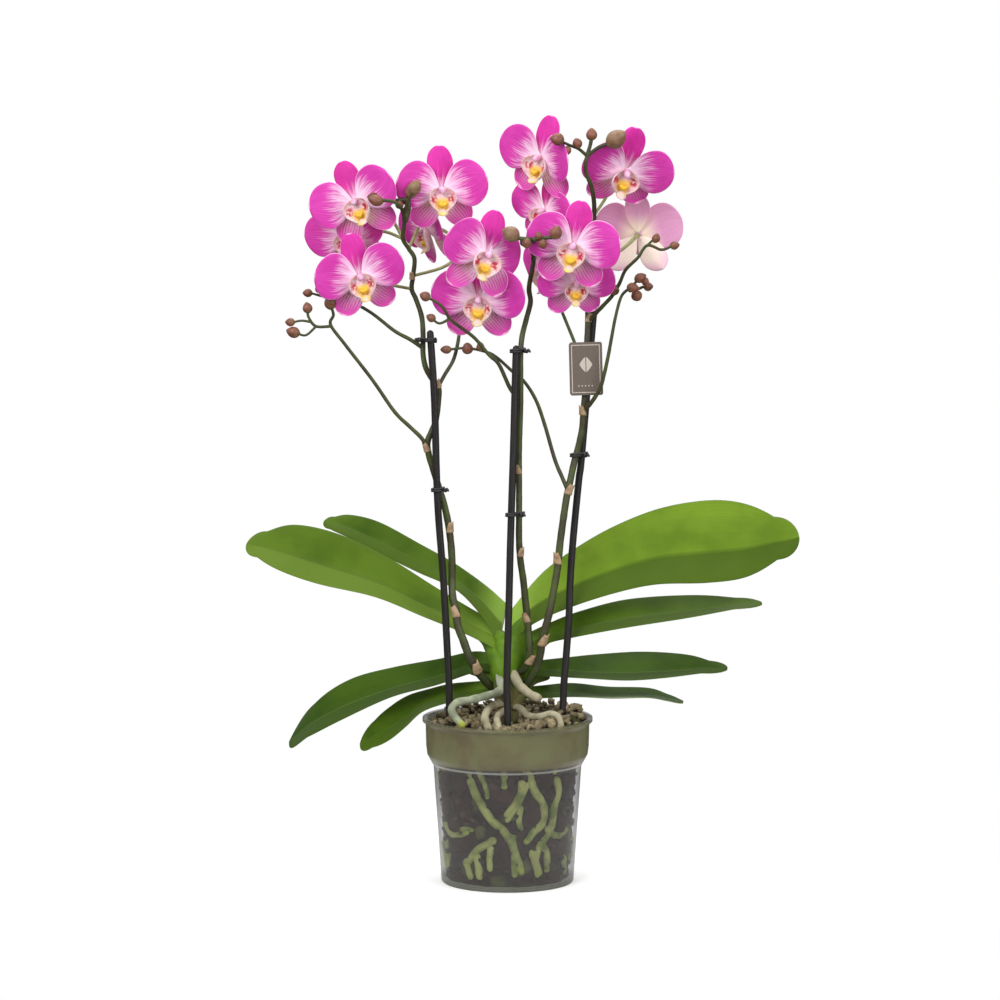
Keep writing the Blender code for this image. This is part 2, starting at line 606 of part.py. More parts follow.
def mix_height(x, y):
    """Height of the growing mix's surface, a sum of soft lumps."""
    height = MIX_LEVEL + 1.2 * math.sin(0.21 * x + 1.0) * math.cos(0.17 * y)
    for centre_x, centre_y, reach, rise in MIX_LUMPS:
        away = ((x - centre_x) ** 2 + (y - centre_y) ** 2) / reach**2
        height += rise * math.exp(-away)
    return height


def build_mix(cutters):
    inside = [(radius - GAP, height) for radius, height in POT_INNER[1:]]
    inside[-1] = (inside[-1][0], inside[-1][1] + GAP)
    rim = [(pot_radius_inside(MIX_LEVEL) - GAP, MIX_LEVEL)]
    rings = [(rim[0][0] * k / MIX_RINGS, MIX_LEVEL) for k in range(MIX_RINGS)]
    body = baked(lathe("mix", rings + rim + inside + [(0, inside[-1][1])], MIX_SIDES))
    for vert in body.data.vertices:
        if vert.co.z > (MIX_LEVEL - 0.5) * MM:
            across = vert.co.xy.length / MM
            fade = min(1.0, (rim[0][0] - across) / 8)
            risen = mix_height(vert.co.x / MM, vert.co.y / MM) - MIX_LEVEL
            vert.co.z = (MIX_LEVEL + risen * fade) * MM
    made = boolean("growing_mix", body, cutters, "DIFFERENCE")
    return finish(made, "growing_mix", "bark")


def at_height(points, height):
    """Where a rising line of points passes a height, in plan."""
    levels = [point[2] for point in points]
    return np.array([np.interp(height, levels, [point[axis] for point in points]) for axis in (0, 1)])


def hoop(name, height, spots):
    """A closed wire tie that runs round one or two bars, each given as (plan centre, radius)."""
    middle = sum(spot for spot, _ in spots) / len(spots)
    points = []
    for k in range(HOOP_POINTS):
        turn = 2 * math.pi * (k + 0.5) / HOOP_POINTS
        way = np.array((math.cos(turn), math.sin(turn)))
        spot, radius = max(spots, key=lambda row: float((row[0] - middle) @ way) + row[1])
        points.append((*(spot + way * (radius + RING_WIRE + GAP)), height))
    curve = bpy.data.curves.new(name, "CURVE")
    curve.dimensions = "3D"
    curve.bevel_depth = RING_WIRE * MM
    curve.bevel_resolution = 1
    line = curve.splines.new("POLY")
    line.points.add(len(points) - 1)
    line.use_cyclic_u = True
    for end, point in zip(line.points, points):
        end.co = (*(value * MM for value in point), 1)
    return finish(baked(solid(name, curve, HELPERS)), name, "wire")


def build_tag():
    bpy.ops.mesh.primitive_cube_add(size=1)
    body = bpy.context.object
    body.scale = [side * MM for side in TAG_SIZE]
    bpy.ops.object.transform_apply(scale=True)
    corners = body.modifiers.new("corners", "BEVEL")
    corners.width = 1.2 * MM
    corners.segments = 2
    corners.affect = "EDGES"
    corners.limit_method = "WEIGHT"
    weights = body.data.attributes.new("bevel_weight_edge", "FLOAT", "EDGE")
    for edge in body.data.edges:
        a, b = (body.data.vertices[index].co for index in edge.vertices)
        weights.data[edge.index].value = 1.0 if abs(a.y - b.y) > 0.5 * TAG_SIZE[1] * MM else 0.0
    angles = Euler([math.radians(angle) for angle in TAG_TURN]).to_matrix().to_4x4()
    made = baked(body)
    made.data.transform(Matrix.Translation(Vector(TAG_CENTRE) * MM) @ angles)
    return finish(made, "care_tag", "tag")


def build_leaves():
    for name, stations in LEAVES.items():
        blade = leaf(name, stations)
        blade = boolean(name, blade, [crown_solid(GAP)], "DIFFERENCE")
        finish(blade, name, "leaf")


def build_roots():
    for name, (points, radius) in ROOT_AERIAL.items():
        root = boolean(name, tapered(name, points, radius, radius * 0.85), [crown_solid(GAP)], "DIFFERENCE")
        finish(root, name, "root")
    for name, (rows, radius) in ROOT_WALL.items():
        finish(tapered(name, wall_points(rows, radius), radius, radius * 0.8), name, "root_green")


def longer(points):
    """The same line, a gap longer at both ends."""
    line = [Vector(point) for point in points]
    first = line[0] + (line[0] - line[1]).normalized() * GAP
    last = line[-1] + (line[-1] - line[-2]).normalized() * GAP
    return [tuple(first), *points[1:-1], tuple(last)]


def mix_cutters():
    cutters = [crown_solid(GAP)]
    for name, points in STAKES.items():
        ends = longer(points[:3])
        cutters.append(tapered(name + "_hole", ends, STAKE_RADIUS, STAKE_RADIUS, GAP, 2))
    for name, (points, radius) in ROOT_AERIAL.items():
        cutters.append(tapered(name + "_hole", longer(points), radius, radius * 0.85, GAP))
    for name, (rows, radius) in ROOT_WALL.items():
        cutters.append(tapered(name + "_groove", longer(wall_points(rows, radius)), radius, radius * 0.8, GAP))
    return cutters


def build_stakes():
    for name, points in STAKES.items():
        finish(tapered(name, points, STAKE_RADIUS, STAKE_RADIUS, 0, 2), name, "stake")


def build_spikes():
    for name in SPIKES:
        made = boolean(name + "_cut", spike(name), [crown_solid(GAP)], "DIFFERENCE")
        finish(made, name, "spike")


def build_clips():
    for name, (height, stake, stem) in CLIPS.items():
        spots = []
        if stake:
            spots.append((at_height(STAKES[stake], height), STAKE_RADIUS + 0.15))
        line, first, last = SPIKES[stem][0]
        radius = first + (last - first) * sum(point[2] < height for point in line) / len(line)
        spots.append((at_height(line, height), radius + 0.15))
        hoop(name, height, spots)


clear_scene()
PLANT = new_collection("Potted orchid")
HELPERS = new_collection("Helpers", visible=False)
MATERIALS = {name: new_material(name) for name in COLOURS}
build_pot()
build_mix(mix_cutters())
finish(crown_solid(), "crown", "stem_green")
build_roots()
build_leaves()
build_stakes()
build_spikes()
build_clips()
build_tag()
for flower_name, flower_row in FLOWERS.items():
    flower(flower_name, flower_row)
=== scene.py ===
# %% [markdown]
# # A moth orchid in a clear growing pot
# The plant has eight thick leaves, three flower spikes tied to dark stakes, fourteen open flowers and
# many buds. The CAD frame gives the true sizes. Each step below makes one kind of piece as a smooth
# surface, gives it a procedural finish and says which CAD solid it stands for.

# %% Frame
import math

import bpy
import numpy as np
from mathutils import Euler
from mathutils import Matrix
from mathutils import Vector


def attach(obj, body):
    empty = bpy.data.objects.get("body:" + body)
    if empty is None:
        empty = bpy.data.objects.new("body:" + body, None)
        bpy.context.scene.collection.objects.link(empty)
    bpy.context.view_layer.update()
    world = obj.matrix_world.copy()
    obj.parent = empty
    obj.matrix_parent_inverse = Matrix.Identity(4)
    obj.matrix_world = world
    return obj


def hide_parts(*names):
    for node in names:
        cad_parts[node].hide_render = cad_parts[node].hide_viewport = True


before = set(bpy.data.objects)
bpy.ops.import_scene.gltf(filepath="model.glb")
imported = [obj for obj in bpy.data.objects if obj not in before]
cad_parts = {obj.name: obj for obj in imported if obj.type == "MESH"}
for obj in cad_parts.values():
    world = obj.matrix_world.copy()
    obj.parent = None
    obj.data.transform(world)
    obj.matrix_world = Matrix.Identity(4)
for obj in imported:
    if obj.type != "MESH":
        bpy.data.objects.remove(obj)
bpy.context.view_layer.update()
MM = 0.001
rng = np.random.default_rng(7)

# %% [markdown]
# ## Room, light and camera
# A plant like this is shown on plain white under big soft lamps. A picture of a real room could light it
# too, but it would lay its own colours on the petals, so plain area lamps and a white world are used. The
# floor is a pale sheet that takes a shadow and fades to plain white, so that no horizon shows. The long
# lens keeps the pot and the flowers in true proportion.

# %% Lamps, room and floor
CAMERA_PLACE = (-0.0053, -3.0, 0.5967)
CAMERA_PITCH = 83.8
LENS = 154.8
SENSOR = 36
# The floor turns from lit to plain white between these distances from the pot, in metres.
FLOOR_FADE = (0.14, 0.40)


def area_lamp(name, place, target, size, power):
    """A soft square lamp at place, aimed at target."""
    data = bpy.data.lights.new(name, "AREA")
    data.energy = power
    data.size = size
    lamp = bpy.data.objects.new(name, data)
    lamp.location = place
    aim = Vector(target) - Vector(place)
    lamp.rotation_euler = aim.to_track_quat("-Z", "Y").to_euler()
    bpy.context.scene.collection.objects.link(lamp)
    return lamp


def white_world(strength):
    """A white room: full white to the eye, glass and gloss, and a plain level of light on the plant."""
    world = bpy.data.worlds.new("white_room")
    bpy.context.scene.world = world
    world.use_nodes = True
    tree = world.node_tree
    back = tree.nodes["Background"]
    back.inputs["Color"].default_value = (1, 1, 1, 1)
    path = tree.nodes.new("ShaderNodeLightPath")
    seen = tree.nodes.new("ShaderNodeMath")
    seen.operation = "MAXIMUM"
    tree.links.new(path.outputs["Is Camera Ray"], seen.inputs[0])
    tree.links.new(path.outputs["Is Transmission Ray"], seen.inputs[1])
    level = tree.nodes.new("ShaderNodeMapRange")
    level.inputs["To Min"].default_value = strength
    level.inputs["To Max"].default_value = 1.0
    tree.links.new(seen.outputs[0], level.inputs["Value"])
    tree.links.new(level.outputs[0], back.inputs["Strength"])


def floor_sheet():
    """A wide white floor: lit and shaded round the pot, and plain white beyond, so that no horizon
    shows."""
    mesh = bpy.data.meshes.new("floor")
    mesh.from_pydata([(-9, -4, 0), (9, -4, 0), (9, 30, 0), (-9, 30, 0)], [], [(0, 1, 2, 3)])
    floor = bpy.data.objects.new("floor", mesh)
    bpy.context.scene.collection.objects.link(floor)
    paint = bpy.data.materials.new("white_floor")
    paint.use_nodes = True
    tree = paint.node_tree
    shader = tree.nodes["Principled BSDF"]
    shader.inputs["Roughness"].default_value = 0.9
    shader.inputs["Specular IOR Level"].default_value = 0.0
    shader.inputs["Emission Color"].default_value = (1, 1, 1, 1)
    place = tree.nodes.new("ShaderNodeTexCoord")
    reach = tree.nodes.new("ShaderNodeVectorMath")
    reach.operation = "LENGTH"
    tree.links.new(place.outputs["Object"], reach.inputs[0])
    path = tree.nodes.new("ShaderNodeLightPath")
    levels = []
    for near, far in ((0.80, 0.0), (0.20, 1.0)):
        level = tree.nodes.new("ShaderNodeMapRange")
        level.interpolation_type = "SMOOTHSTEP"
        for key, number in zip(("From Min", "From Max", "To Min", "To Max"), (*FLOOR_FADE, near, far)):
            level.inputs[key].default_value = number
        tree.links.new(reach.outputs["Value"], level.inputs["Value"])
        levels.append(level.outputs[0])
    glow = tree.nodes.new("ShaderNodeMath")
    glow.operation = "MULTIPLY"
    tree.links.new(path.outputs["Is Camera Ray"], glow.inputs[0])
    tree.links.new(levels[1], glow.inputs[1])
    tree.links.new(levels[0], shader.inputs["Base Color"])
    tree.links.new(glow.outputs[0], shader.inputs["Emission Strength"])
    mesh.materials.append(paint)


# %% Camera and lamps in place
camera_data = bpy.data.cameras.new("camera")
camera_data.lens = LENS
camera_data.sensor_width = SENSOR
camera = bpy.data.objects.new("camera", camera_data)
camera.location = CAMERA_PLACE
camera.rotation_euler = (math.radians(CAMERA_PITCH), 0, 0)
bpy.context.scene.collection.objects.link(camera)
bpy.context.scene.camera = camera
bpy.context.scene.view_settings.view_transform = "Standard"
white_world(0.95)
floor_sheet()
area_lamp("key", (-1.1, -1.9, 1.6), (0, 0, 0.35), 1.2, 36)
area_lamp("fill", (1.6, -1.8, 0.8), (0, 0, 0.3), 1.4, 22)
area_lamp("top", (0.1, 0.4, 1.9), (0, 0, 0.4), 1.0, 13)
print("camera and lamps are in place")

# %% [markdown]
# ## Surfaces from grids
# Every piece here is a closed skin over a grid of two parameters: one runs along the piece and one runs
# round it. Sculpting or bevelled curves would also make such shapes. A formula keeps each shape short,
# exact and easy to change, and numpy works out all its points at once.


# %% Grid helpers
def make_piece(name, points, quads, uv, node, material, extra=None):
    """A mesh object from points (N, 3) in metres, quads (K, 4), and a UV for each point."""
    corner = points[quads]
    volume = np.einsum("ij,ij->i", corner[:, 0], np.cross(corner[:, 1], corner[:, 2])).sum()
    volume += np.einsum("ij,ij->i", corner[:, 0], np.cross(corner[:, 2], corner[:, 3])).sum()
    if volume < 0:
        quads = quads[:, ::-1]
    mesh = bpy.data.meshes.new(name)
    mesh.from_pydata(points.tolist(), [], quads.tolist())
    layer = mesh.uv_layers.new(name="skin")
    layer.data.foreach_set("uv", uv[quads.reshape(-1)].astype(np.float32).reshape(-1))
    for key, values in (extra or {}).items():
        attribute = mesh.attributes.new(key, "FLOAT", "POINT")
        attribute.data.foreach_set("value", values.astype(np.float32).reshape(-1))
    mesh.validate()
    mesh.shade_smooth()
    mesh.materials.append(material)
    piece = bpy.data.objects.new(name, mesh)
    bpy.context.scene.collection.objects.link(piece)
    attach(piece, "root")
    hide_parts(node)
    return piece


def tube_quads(rows, around):
    """Quads of a closed tube. Its points are rows rings of around points each, then the middle of the
    first ring and the middle of the last one. Each end is a flat fan whose quads take two ring steps at
    a time."""
    start = np.arange(rows - 1)[:, None] * around
    here = start + np.arange(around)[None, :]
    beside = start + (np.arange(around)[None, :] + 1) % around
    side = np.stack([here, beside, beside + around, here + around], axis=-1).reshape(-1, 4)
    spoke = np.arange(0, around, 2)
    middle = np.full_like(spoke, rows * around)
    last = (rows - 1) * around
    near, far = (spoke + 1) % around, (spoke + 2) % around
    first_cap = np.stack([middle, far, near, spoke], axis=-1)
    last_cap = np.stack([middle + 1, last + spoke, last + near, last + far], axis=-1)
    return np.concatenate([side, first_cap, last_cap])


def closed_tube(name, rings, uv, node, material, extra=None):
    """A tube of rings (n, m, 3) in metres, closed at both ends by a small flat fan."""
    ends = np.stack([rings[0].mean(axis=0), rings[-1].mean(axis=0)])
    points = np.concatenate([rings.reshape(-1, 3), ends])
    end_uv = np.stack([uv[0].mean(axis=0), uv[-1].mean(axis=0)])
    flat_uv = np.concatenate([uv.reshape(-1, 2), end_uv])
    filled = {}
    for key, values in (extra or {}).items():
        filled[key] = np.concatenate([values.reshape(-1), [values[0].mean(), values[-1].mean()]])
    return make_piece(name, points, tube_quads(*rings.shape[:2]), flat_uv, node, material, filled)


# %% Smooth lines
def smooth(rows, place):
    """Catmull-Rom points along rows, for places from 0 to 1 in an array."""
    rows = np.asarray(rows, float)
    padded = np.concatenate([2 * rows[:1] - rows[1:2], rows, 2 * rows[-1:] - rows[-2:-1]])
    spot = np.clip(place, 0, 1) * (len(rows) - 1)
    start = np.minimum(spot.astype(int), len(rows) - 2)
    part = (spot - start)[..., None]
    p0, p1, p2, p3 = (padded[start + k] for k in range(4))
    return 0.5 * (2 * p1 + (p2 - p0) * part + (2 * p0 - 5 * p1 + 4 * p2 - p3) * part**2
                  + (3 * p1 - p0 - 3 * p2 + p3) * part**3)


def unit(vectors):
    """Vectors of length 1."""
    return vectors / np.maximum(np.linalg.norm(vectors, axis=-1, keepdims=True), 1e-9)


print("tubes and smooth lines are ready")


# %% Thin blades
def blade(name, middle, thick, node, material, rows=28, around=20, place=None, face=(0, -1, 0)):
    """A thin closed skin about the sheet middle(along, across), across running from -1 to 1. The two
    faces stand half the thickness off the sheet and meet in a round edge. The skin's front value is 1
    on the side that looks towards face and 0 on the other."""
    along = np.sin(0.5 * math.pi * np.linspace(0, 1, rows))[:, None]
    turn = np.linspace(0, 2 * math.pi, around, endpoint=False)[None, :]
    across = np.cos(turn) + 0 * along
    along = along + 0 * turn
    step = 1e-3
    sheet = middle(along, across)
    slope_a = middle(along + step, across) - middle(along - step, across)
    slope_s = middle(along, across + step) - middle(along, across - step)
    normal = unit(np.cross(slope_a, slope_s))
    towards = np.sign(np.sum(normal @ np.array(face, float)))
    rings = sheet + normal * (0.5 * thick * np.sin(turn))[..., None]
    if place is not None:
        turned = np.array(place.to_3x3())
        rings = rings @ turned.T + np.array(place.translation)
    uv = np.stack([along, 0.5 + 0.5 * across], axis=-1)
    front = 0.5 + 0.5 * towards * np.sin(turn) + 0 * along
    return closed_tube(name, rings * MM, uv, node, material, {"front": front})


print("blades are ready")


# %% Round bars
def bar(name, line, radii, node, material, rows=None, around=12, lumps=0.0):
    """A round bar along a smooth line of points. Its radius is read from radii along the line, and
    lumps swells it unevenly. Each end is a half ball: over the last radius the size follows a quarter
    circle."""
    rows = rows or 4 * len(line)
    place = np.linspace(0, 1, rows)
    reach = np.linalg.norm(np.diff(smooth(line, place), axis=0), axis=1).sum()
    steps = np.array((0.1, 0.3, 0.6, 1.0))
    head, tail = steps * radii[0] / reach, 1 - steps * radii[-1] / reach
    kept = place[(place > head[-1] * 1.2) & (place < 1.2 * tail[-1] - 0.2)]
    place = np.concatenate([[0], head, kept, tail[::-1], [1]])
    path = smooth(line, place)
    heading = unit(np.gradient(path, axis=0))
    aside = unit(np.cross(heading, np.array((0.31, 0.93, 0.17))))
    other = np.cross(heading, aside)
    turn = np.linspace(0, 2 * math.pi, around, endpoint=False)
    radius = np.interp(place, np.linspace(0, 1, len(radii)), radii)
    length = np.concatenate([[0], np.cumsum(np.linalg.norm(np.diff(path, axis=0), axis=1))])
    ripple = np.sin(length[:, None] * 0.9 + 2 * turn[None, :])
    wave = 1 + lumps * (np.sin(length * 0.55)[:, None] * 0.6 + ripple * 0.4)
    left = np.clip(np.minimum(length, length[-1] - length) / radius, 0.04, 1)
    size = radius[:, None] * wave * np.sqrt(2 * left - left**2)[:, None]
    rings = path[:, None, :] + size[..., None] * (
        np.cos(turn)[None, :, None] * aside[:, None, :] + np.sin(turn)[None, :, None] * other[:, None, :])
    uv = np.stack([length[:, None] / 10 + 0 * turn, turn / (2 * math.pi) + 0 * length[:, None]], axis=-1)
    along = place[:, None] + 0 * turn[None, :]
    return closed_tube(name, rings * MM, uv, node, material, {"along": along})


print("bars are ready")

# %% [markdown]
# ## A short hand for finishes
# Each finish is a small node tree that starts from the surface's own coordinates. A helper that adds a
# node and fills its sockets keeps every recipe to a few readable lines.


# %% Finish helpers
class Finish:
    """A material under construction: each method adds a node and gives back its output."""

    def __init__(self, name, roughness=0.5, specular=0.4):
        self.material = bpy.data.materials.new(name)
        self.material.use_nodes = True
        self.tree = self.material.node_tree
        self.shader = self.tree.nodes["Principled BSDF"]
        self.shader.inputs["Roughness"].default_value = roughness
        self.shader.inputs["Specular IOR Level"].default_value = specular

    def feed(self, socket, value):
        if hasattr(value, "links") or hasattr(value, "is_linked"):
            self.tree.links.new(value, socket)
        elif isinstance(value, tuple) and len(value) == 3 and socket.type == "RGBA":
            socket.default_value = (*value, 1)
        else:
            socket.default_value = value

    def math(self, operation, first, second=0.0, third=0.0):
        node = self.tree.nodes.new("ShaderNodeMath")
        node.operation = operation
        self.feed(node.inputs[0], first)
        self.feed(node.inputs[1], second)
        if operation in ("MULTIPLY_ADD", "COMPARE"):
            self.feed(node.inputs[2], third)
        return node.outputs[0]

    def rise(self, value, low, high):
        """0 below low, 1 above high and smooth between; low may be above high."""
        node = self.tree.nodes.new("ShaderNodeMapRange")
        node.interpolation_type = "SMOOTHSTEP"
        self.feed(node.inputs["Value"], value)
        if low < high:
            settings = (low, high, 0.0, 1.0)
        else:
            settings = (high, low, 1.0, 0.0)
        for key, number in zip(("From Min", "From Max", "To Min", "To Max"), settings):
            node.inputs[key].default_value = number
        return node.outputs[0]

    def mix(self, share, first, second):
        node = self.tree.nodes.new("ShaderNodeMix")
        node.data_type = "RGBA"
        self.feed(node.inputs["Factor"], share)
        self.feed(node.inputs[6], first)
        self.feed(node.inputs[7], second)
        return node.outputs[2]

    def place(self):
        return self.tree.nodes.new("ShaderNodeTexCoord").outputs["Object"]

    def skin(self):
        """The piece's own UV as two numbers: along and across."""
        node = self.tree.nodes.new("ShaderNodeUVMap")
        node.uv_map = "skin"
        split = self.tree.nodes.new("ShaderNodeSeparateXYZ")
        self.tree.links.new(node.outputs[0], split.inputs[0])
        return split.outputs[0], split.outputs[1]

    def height(self):
        split = self.tree.nodes.new("ShaderNodeSeparateXYZ")
        self.tree.links.new(self.place(), split.inputs[0])
        return split.outputs[2]

    def value(self, key):
        node = self.tree.nodes.new("ShaderNodeAttribute")
        node.attribute_name = key
        return node.outputs["Fac"]

    def vector(self, first, second, third=0.0):
        node = self.tree.nodes.new("ShaderNodeCombineXYZ")
        for socket, value in zip(node.inputs, (first, second, third)):
            self.feed(socket, value)
        return node.outputs[0]

    def noise(self, scale, where=None, detail=3.0, rough=0.55):
        node = self.tree.nodes.new("ShaderNodeTexNoise")
        node.inputs["Scale"].default_value = scale
        node.inputs["Detail"].default_value = detail
        node.inputs["Roughness"].default_value = rough
        self.tree.links.new(where if where is not None else self.place(), node.inputs["Vector"])
        return node.outputs["Fac"]

    def cells(self, scale, where=None):
        node = self.tree.nodes.new("ShaderNodeTexVoronoi")
        node.inputs["Scale"].default_value = scale
        self.tree.links.new(where if where is not None else self.place(), node.inputs["Vector"])
        return node.outputs["Distance"], node.outputs["Color"]

    def tint(self, base, colour, share, amount):
        """Lays colour over base: share says where, and amount how much of it at the most."""
        return self.mix(self.math("MULTIPLY", share, amount), base, colour)

    def side(self, across):
        """0 along the middle of a blade and 1 at both its edges."""
        return self.math("ABSOLUTE", self.math("MULTIPLY_ADD", across, 2.0, -1.0))

    def faces(self, back, front):
        """One colour on each side of a blade, from its front value."""
        return self.mix(self.rise(self.value("front"), 0.42, 0.58), back, front)

    def flesh(self):
        """Lets a little light through, as petals do."""
        self.set("Subsurface Weight", 0.06)
        self.set("Subsurface Scale", 0.002)

    def bump(self, height, strength, distance=0.0004):
        node = self.tree.nodes.new("ShaderNodeBump")
        node.inputs["Strength"].default_value = strength
        node.inputs["Distance"].default_value = distance
        self.tree.links.new(height, node.inputs["Height"])
        self.tree.links.new(node.outputs[0], self.shader.inputs["Normal"])

    def paint(self, colour):
        self.feed(self.shader.inputs["Base Color"], colour)
        return self.material

    def set(self, key, number):
        self.shader.inputs[key].default_value = number


print("finish helpers are ready")

# %% [markdown]
# ## Petal and sepal finishes
# The broad petals are magenta with a white flare at the heart, fine veins that fan outward and a thin
# pale rim. A painted picture could carry this, but a pattern on the skin's own coordinates stays sharp at
# any size. On the skin, across is measured in shares of the width, so plain stripes fan out by themselves
# like real veins. The backs are pale, so the front value mixes the two.


# %% Petal finishes
def streaks(finish, along, across, count, cover=0.5):
    """Fine uneven lines along the tepal: noise drawn out lengthwise, so that it fans out from the heart."""
    where = finish.vector(finish.math("MULTIPLY", along, 1.6), finish.math("MULTIPLY", across, count))
    return finish.rise(finish.noise(1.0, where, 2.5, 0.6), cover - 0.16, cover + 0.18)


def petal_finish(name, deep, light, flare_reach, back_tint):
    """Magenta with light streaks, a white flare that reaches out to flare_reach, a pale rim and a pale
    back."""
    finish = Finish(name, 0.6, 0.2)
    along, across = finish.skin()
    side = finish.side(across)
    lines = streaks(finish, along, across, 30.0)
    cloud = finish.noise(75.0)
    body = finish.tint(light, deep, lines, 0.45)
    body = finish.tint(body, deep, finish.rise(cloud, 0.35, 0.75), 0.45)
    body = finish.tint(body, light, finish.rise(along, 0.75, 0.98), 0.35)
    reach = finish.math("MULTIPLY_ADD", lines, 0.26, along)
    reach = finish.math("ADD", reach, finish.math("MULTIPLY", finish.math("SUBTRACT", cloud, 0.5), 0.30))
    reach = finish.math("ADD", reach, finish.math("MULTIPLY", finish.math("POWER", side, 2.0), 0.16))
    flare = finish.rise(reach, flare_reach + 0.30, flare_reach - 0.16)
    body = finish.tint(body, (0.95, 0.74, 0.88), flare, 0.92)
    rim = finish.math("MAXIMUM", finish.rise(side, 0.955, 0.99), finish.rise(along, 0.978, 0.99))
    body = finish.tint(body, (0.90, 0.58, 0.80), rim, 0.8)
    back = finish.tint(back_tint, (0.58, 0.20, 0.40), lines, 0.45)
    back = finish.mix(finish.rise(along, 0.55, 0.05), back, (0.90, 0.78, 0.62))
    colour = finish.faces(back, body)
    finish.bump(lines, 0.12, 0.0003)
    finish.flesh()
    return finish.paint(colour)


# %% Side sepal, lip and plain flesh
def side_sepal_finish():
    """Cream at the heart and pink beyond, with broken magenta stripes that run lengthwise."""
    finish = Finish("side_sepal", 0.6, 0.2)
    along, across = finish.skin()
    side = finish.side(across)
    sway = finish.math("MULTIPLY", finish.noise(110.0), 9.0)
    beat = finish.math("SINE", finish.math("MULTIPLY_ADD", across, 62.0, sway))
    lines = finish.rise(beat, -0.1, 0.8)
    broken = finish.rise(finish.noise(300.0), 0.34, 0.55)
    stripe = finish.math("MULTIPLY", lines, finish.math("MAXIMUM", broken, finish.rise(along, 0.35, 0.75)))
    heart = finish.mix(finish.rise(across, 0.25, 0.75), (0.86, 0.82, 0.50), (0.93, 0.74, 0.82))
    base = finish.mix(finish.rise(along, 0.18, 0.68), heart, (0.80, 0.26, 0.56))
    body = finish.tint(base, (0.55, 0.02, 0.29), stripe, 0.72)
    tip = finish.rise(finish.math("MULTIPLY_ADD", side, 0.25, along), 0.65, 1.05)
    tip = finish.math("MULTIPLY", tip, 0.8)
    body = finish.mix(tip, body, (0.72, 0.05, 0.44))
    rim = finish.math("MAXIMUM", finish.rise(side, 0.93, 0.985), finish.rise(along, 0.955, 0.98))
    body = finish.tint(body, (0.95, 0.66, 0.82), rim, 0.75)
    back = finish.tint((0.90, 0.78, 0.66), (0.80, 0.40, 0.56), lines, 0.2)
    back = finish.tint(back, (0.85, 0.45, 0.66), tip, 0.8)
    colour = finish.faces(back, body)
    finish.bump(lines, 0.12, 0.0003)
    finish.flesh()
    return finish.paint(colour)


def lip_finish():
    """Peach-cream rim, pale pink walls, a yellow floor and dark red spots on both sides of the mouth."""
    finish = Finish("lip", 0.5, 0.3)
    along, across = finish.skin()
    side = finish.side(across)
    fine = finish.noise(500.0)
    walls = finish.mix(finish.rise(fine, 0.45, 0.6), (0.84, 0.66, 0.70), (0.80, 0.46, 0.60))
    floor = finish.math("MULTIPLY", finish.rise(side, 0.55, 0.15), finish.rise(along, 0.25, 0.45))
    body = finish.tint(walls, (0.86, 0.58, 0.05), floor, 0.9)
    mouth = finish.math("MULTIPLY", finish.rise(side, 0.15, 0.35), finish.rise(side, 0.72, 0.52))
    depth = finish.math("MULTIPLY", finish.rise(along, 0.12, 0.25), finish.rise(along, 0.6, 0.42))
    mouth = finish.math("MULTIPLY", mouth, depth)
    spots = finish.math("MULTIPLY", mouth, finish.rise(fine, 0.38, 0.52))
    body = finish.mix(spots, body, (0.50, 0.02, 0.06))
    rim = finish.rise(side, 0.80, 0.95)
    body = finish.tint(body, (0.95, 0.70, 0.50), rim, 0.8)
    outside = finish.mix(finish.rise(fine, 0.4, 0.6), (0.93, 0.80, 0.74), (0.90, 0.66, 0.70))
    colour = finish.faces(outside, body)
    finish.flesh()
    return finish.paint(colour)


def plain_flesh(name, colour, dark, roughness):
    """One colour clouded with another."""
    finish = Finish(name, roughness, 0.35)
    mottle = finish.rise(finish.noise(260.0), 0.35, 0.7)
    finish.bump(mottle, 0.15, 0.0002)
    return finish.paint(finish.mix(mottle, colour, dark))


PETAL = petal_finish("petal", (0.52, 0.018, 0.30), (0.72, 0.065, 0.46), 0.46, (0.70, 0.34, 0.54))
TOP_SEPAL = petal_finish("top_sepal", (0.44, 0.010, 0.21), (0.66, 0.035, 0.37), 0.27, (0.70, 0.36, 0.54))
SIDE_SEPAL = side_sepal_finish()
LIP = lip_finish()
TONGUE = plain_flesh("lip_tongue", (0.82, 0.62, 0.16), (0.78, 0.58, 0.66), 0.5)
COLUMN = plain_flesh("column", (0.78, 0.52, 0.66), (0.74, 0.30, 0.52), 0.5)
CALLUS = plain_flesh("callus", (0.86, 0.56, 0.03), (0.80, 0.36, 0.03), 0.4)
print("flower finishes:", PETAL.name, TOP_SEPAL.name, SIDE_SEPAL.name, LIP.name)

# %% [markdown]
# ## The flowers
# A moth orchid flower has three narrow sepals behind, two wide petals in front, a small cupped lip and a
# column. Flat planes with a thickness added would look cut from card, so each tepal is a closed blade
# that leans, curls and ripples. One flower is described once, in its own frame, facing -Y. Then a list
# places fourteen of them, each turned, tilted and rolled its own way, because no two on a spike face
# alike.

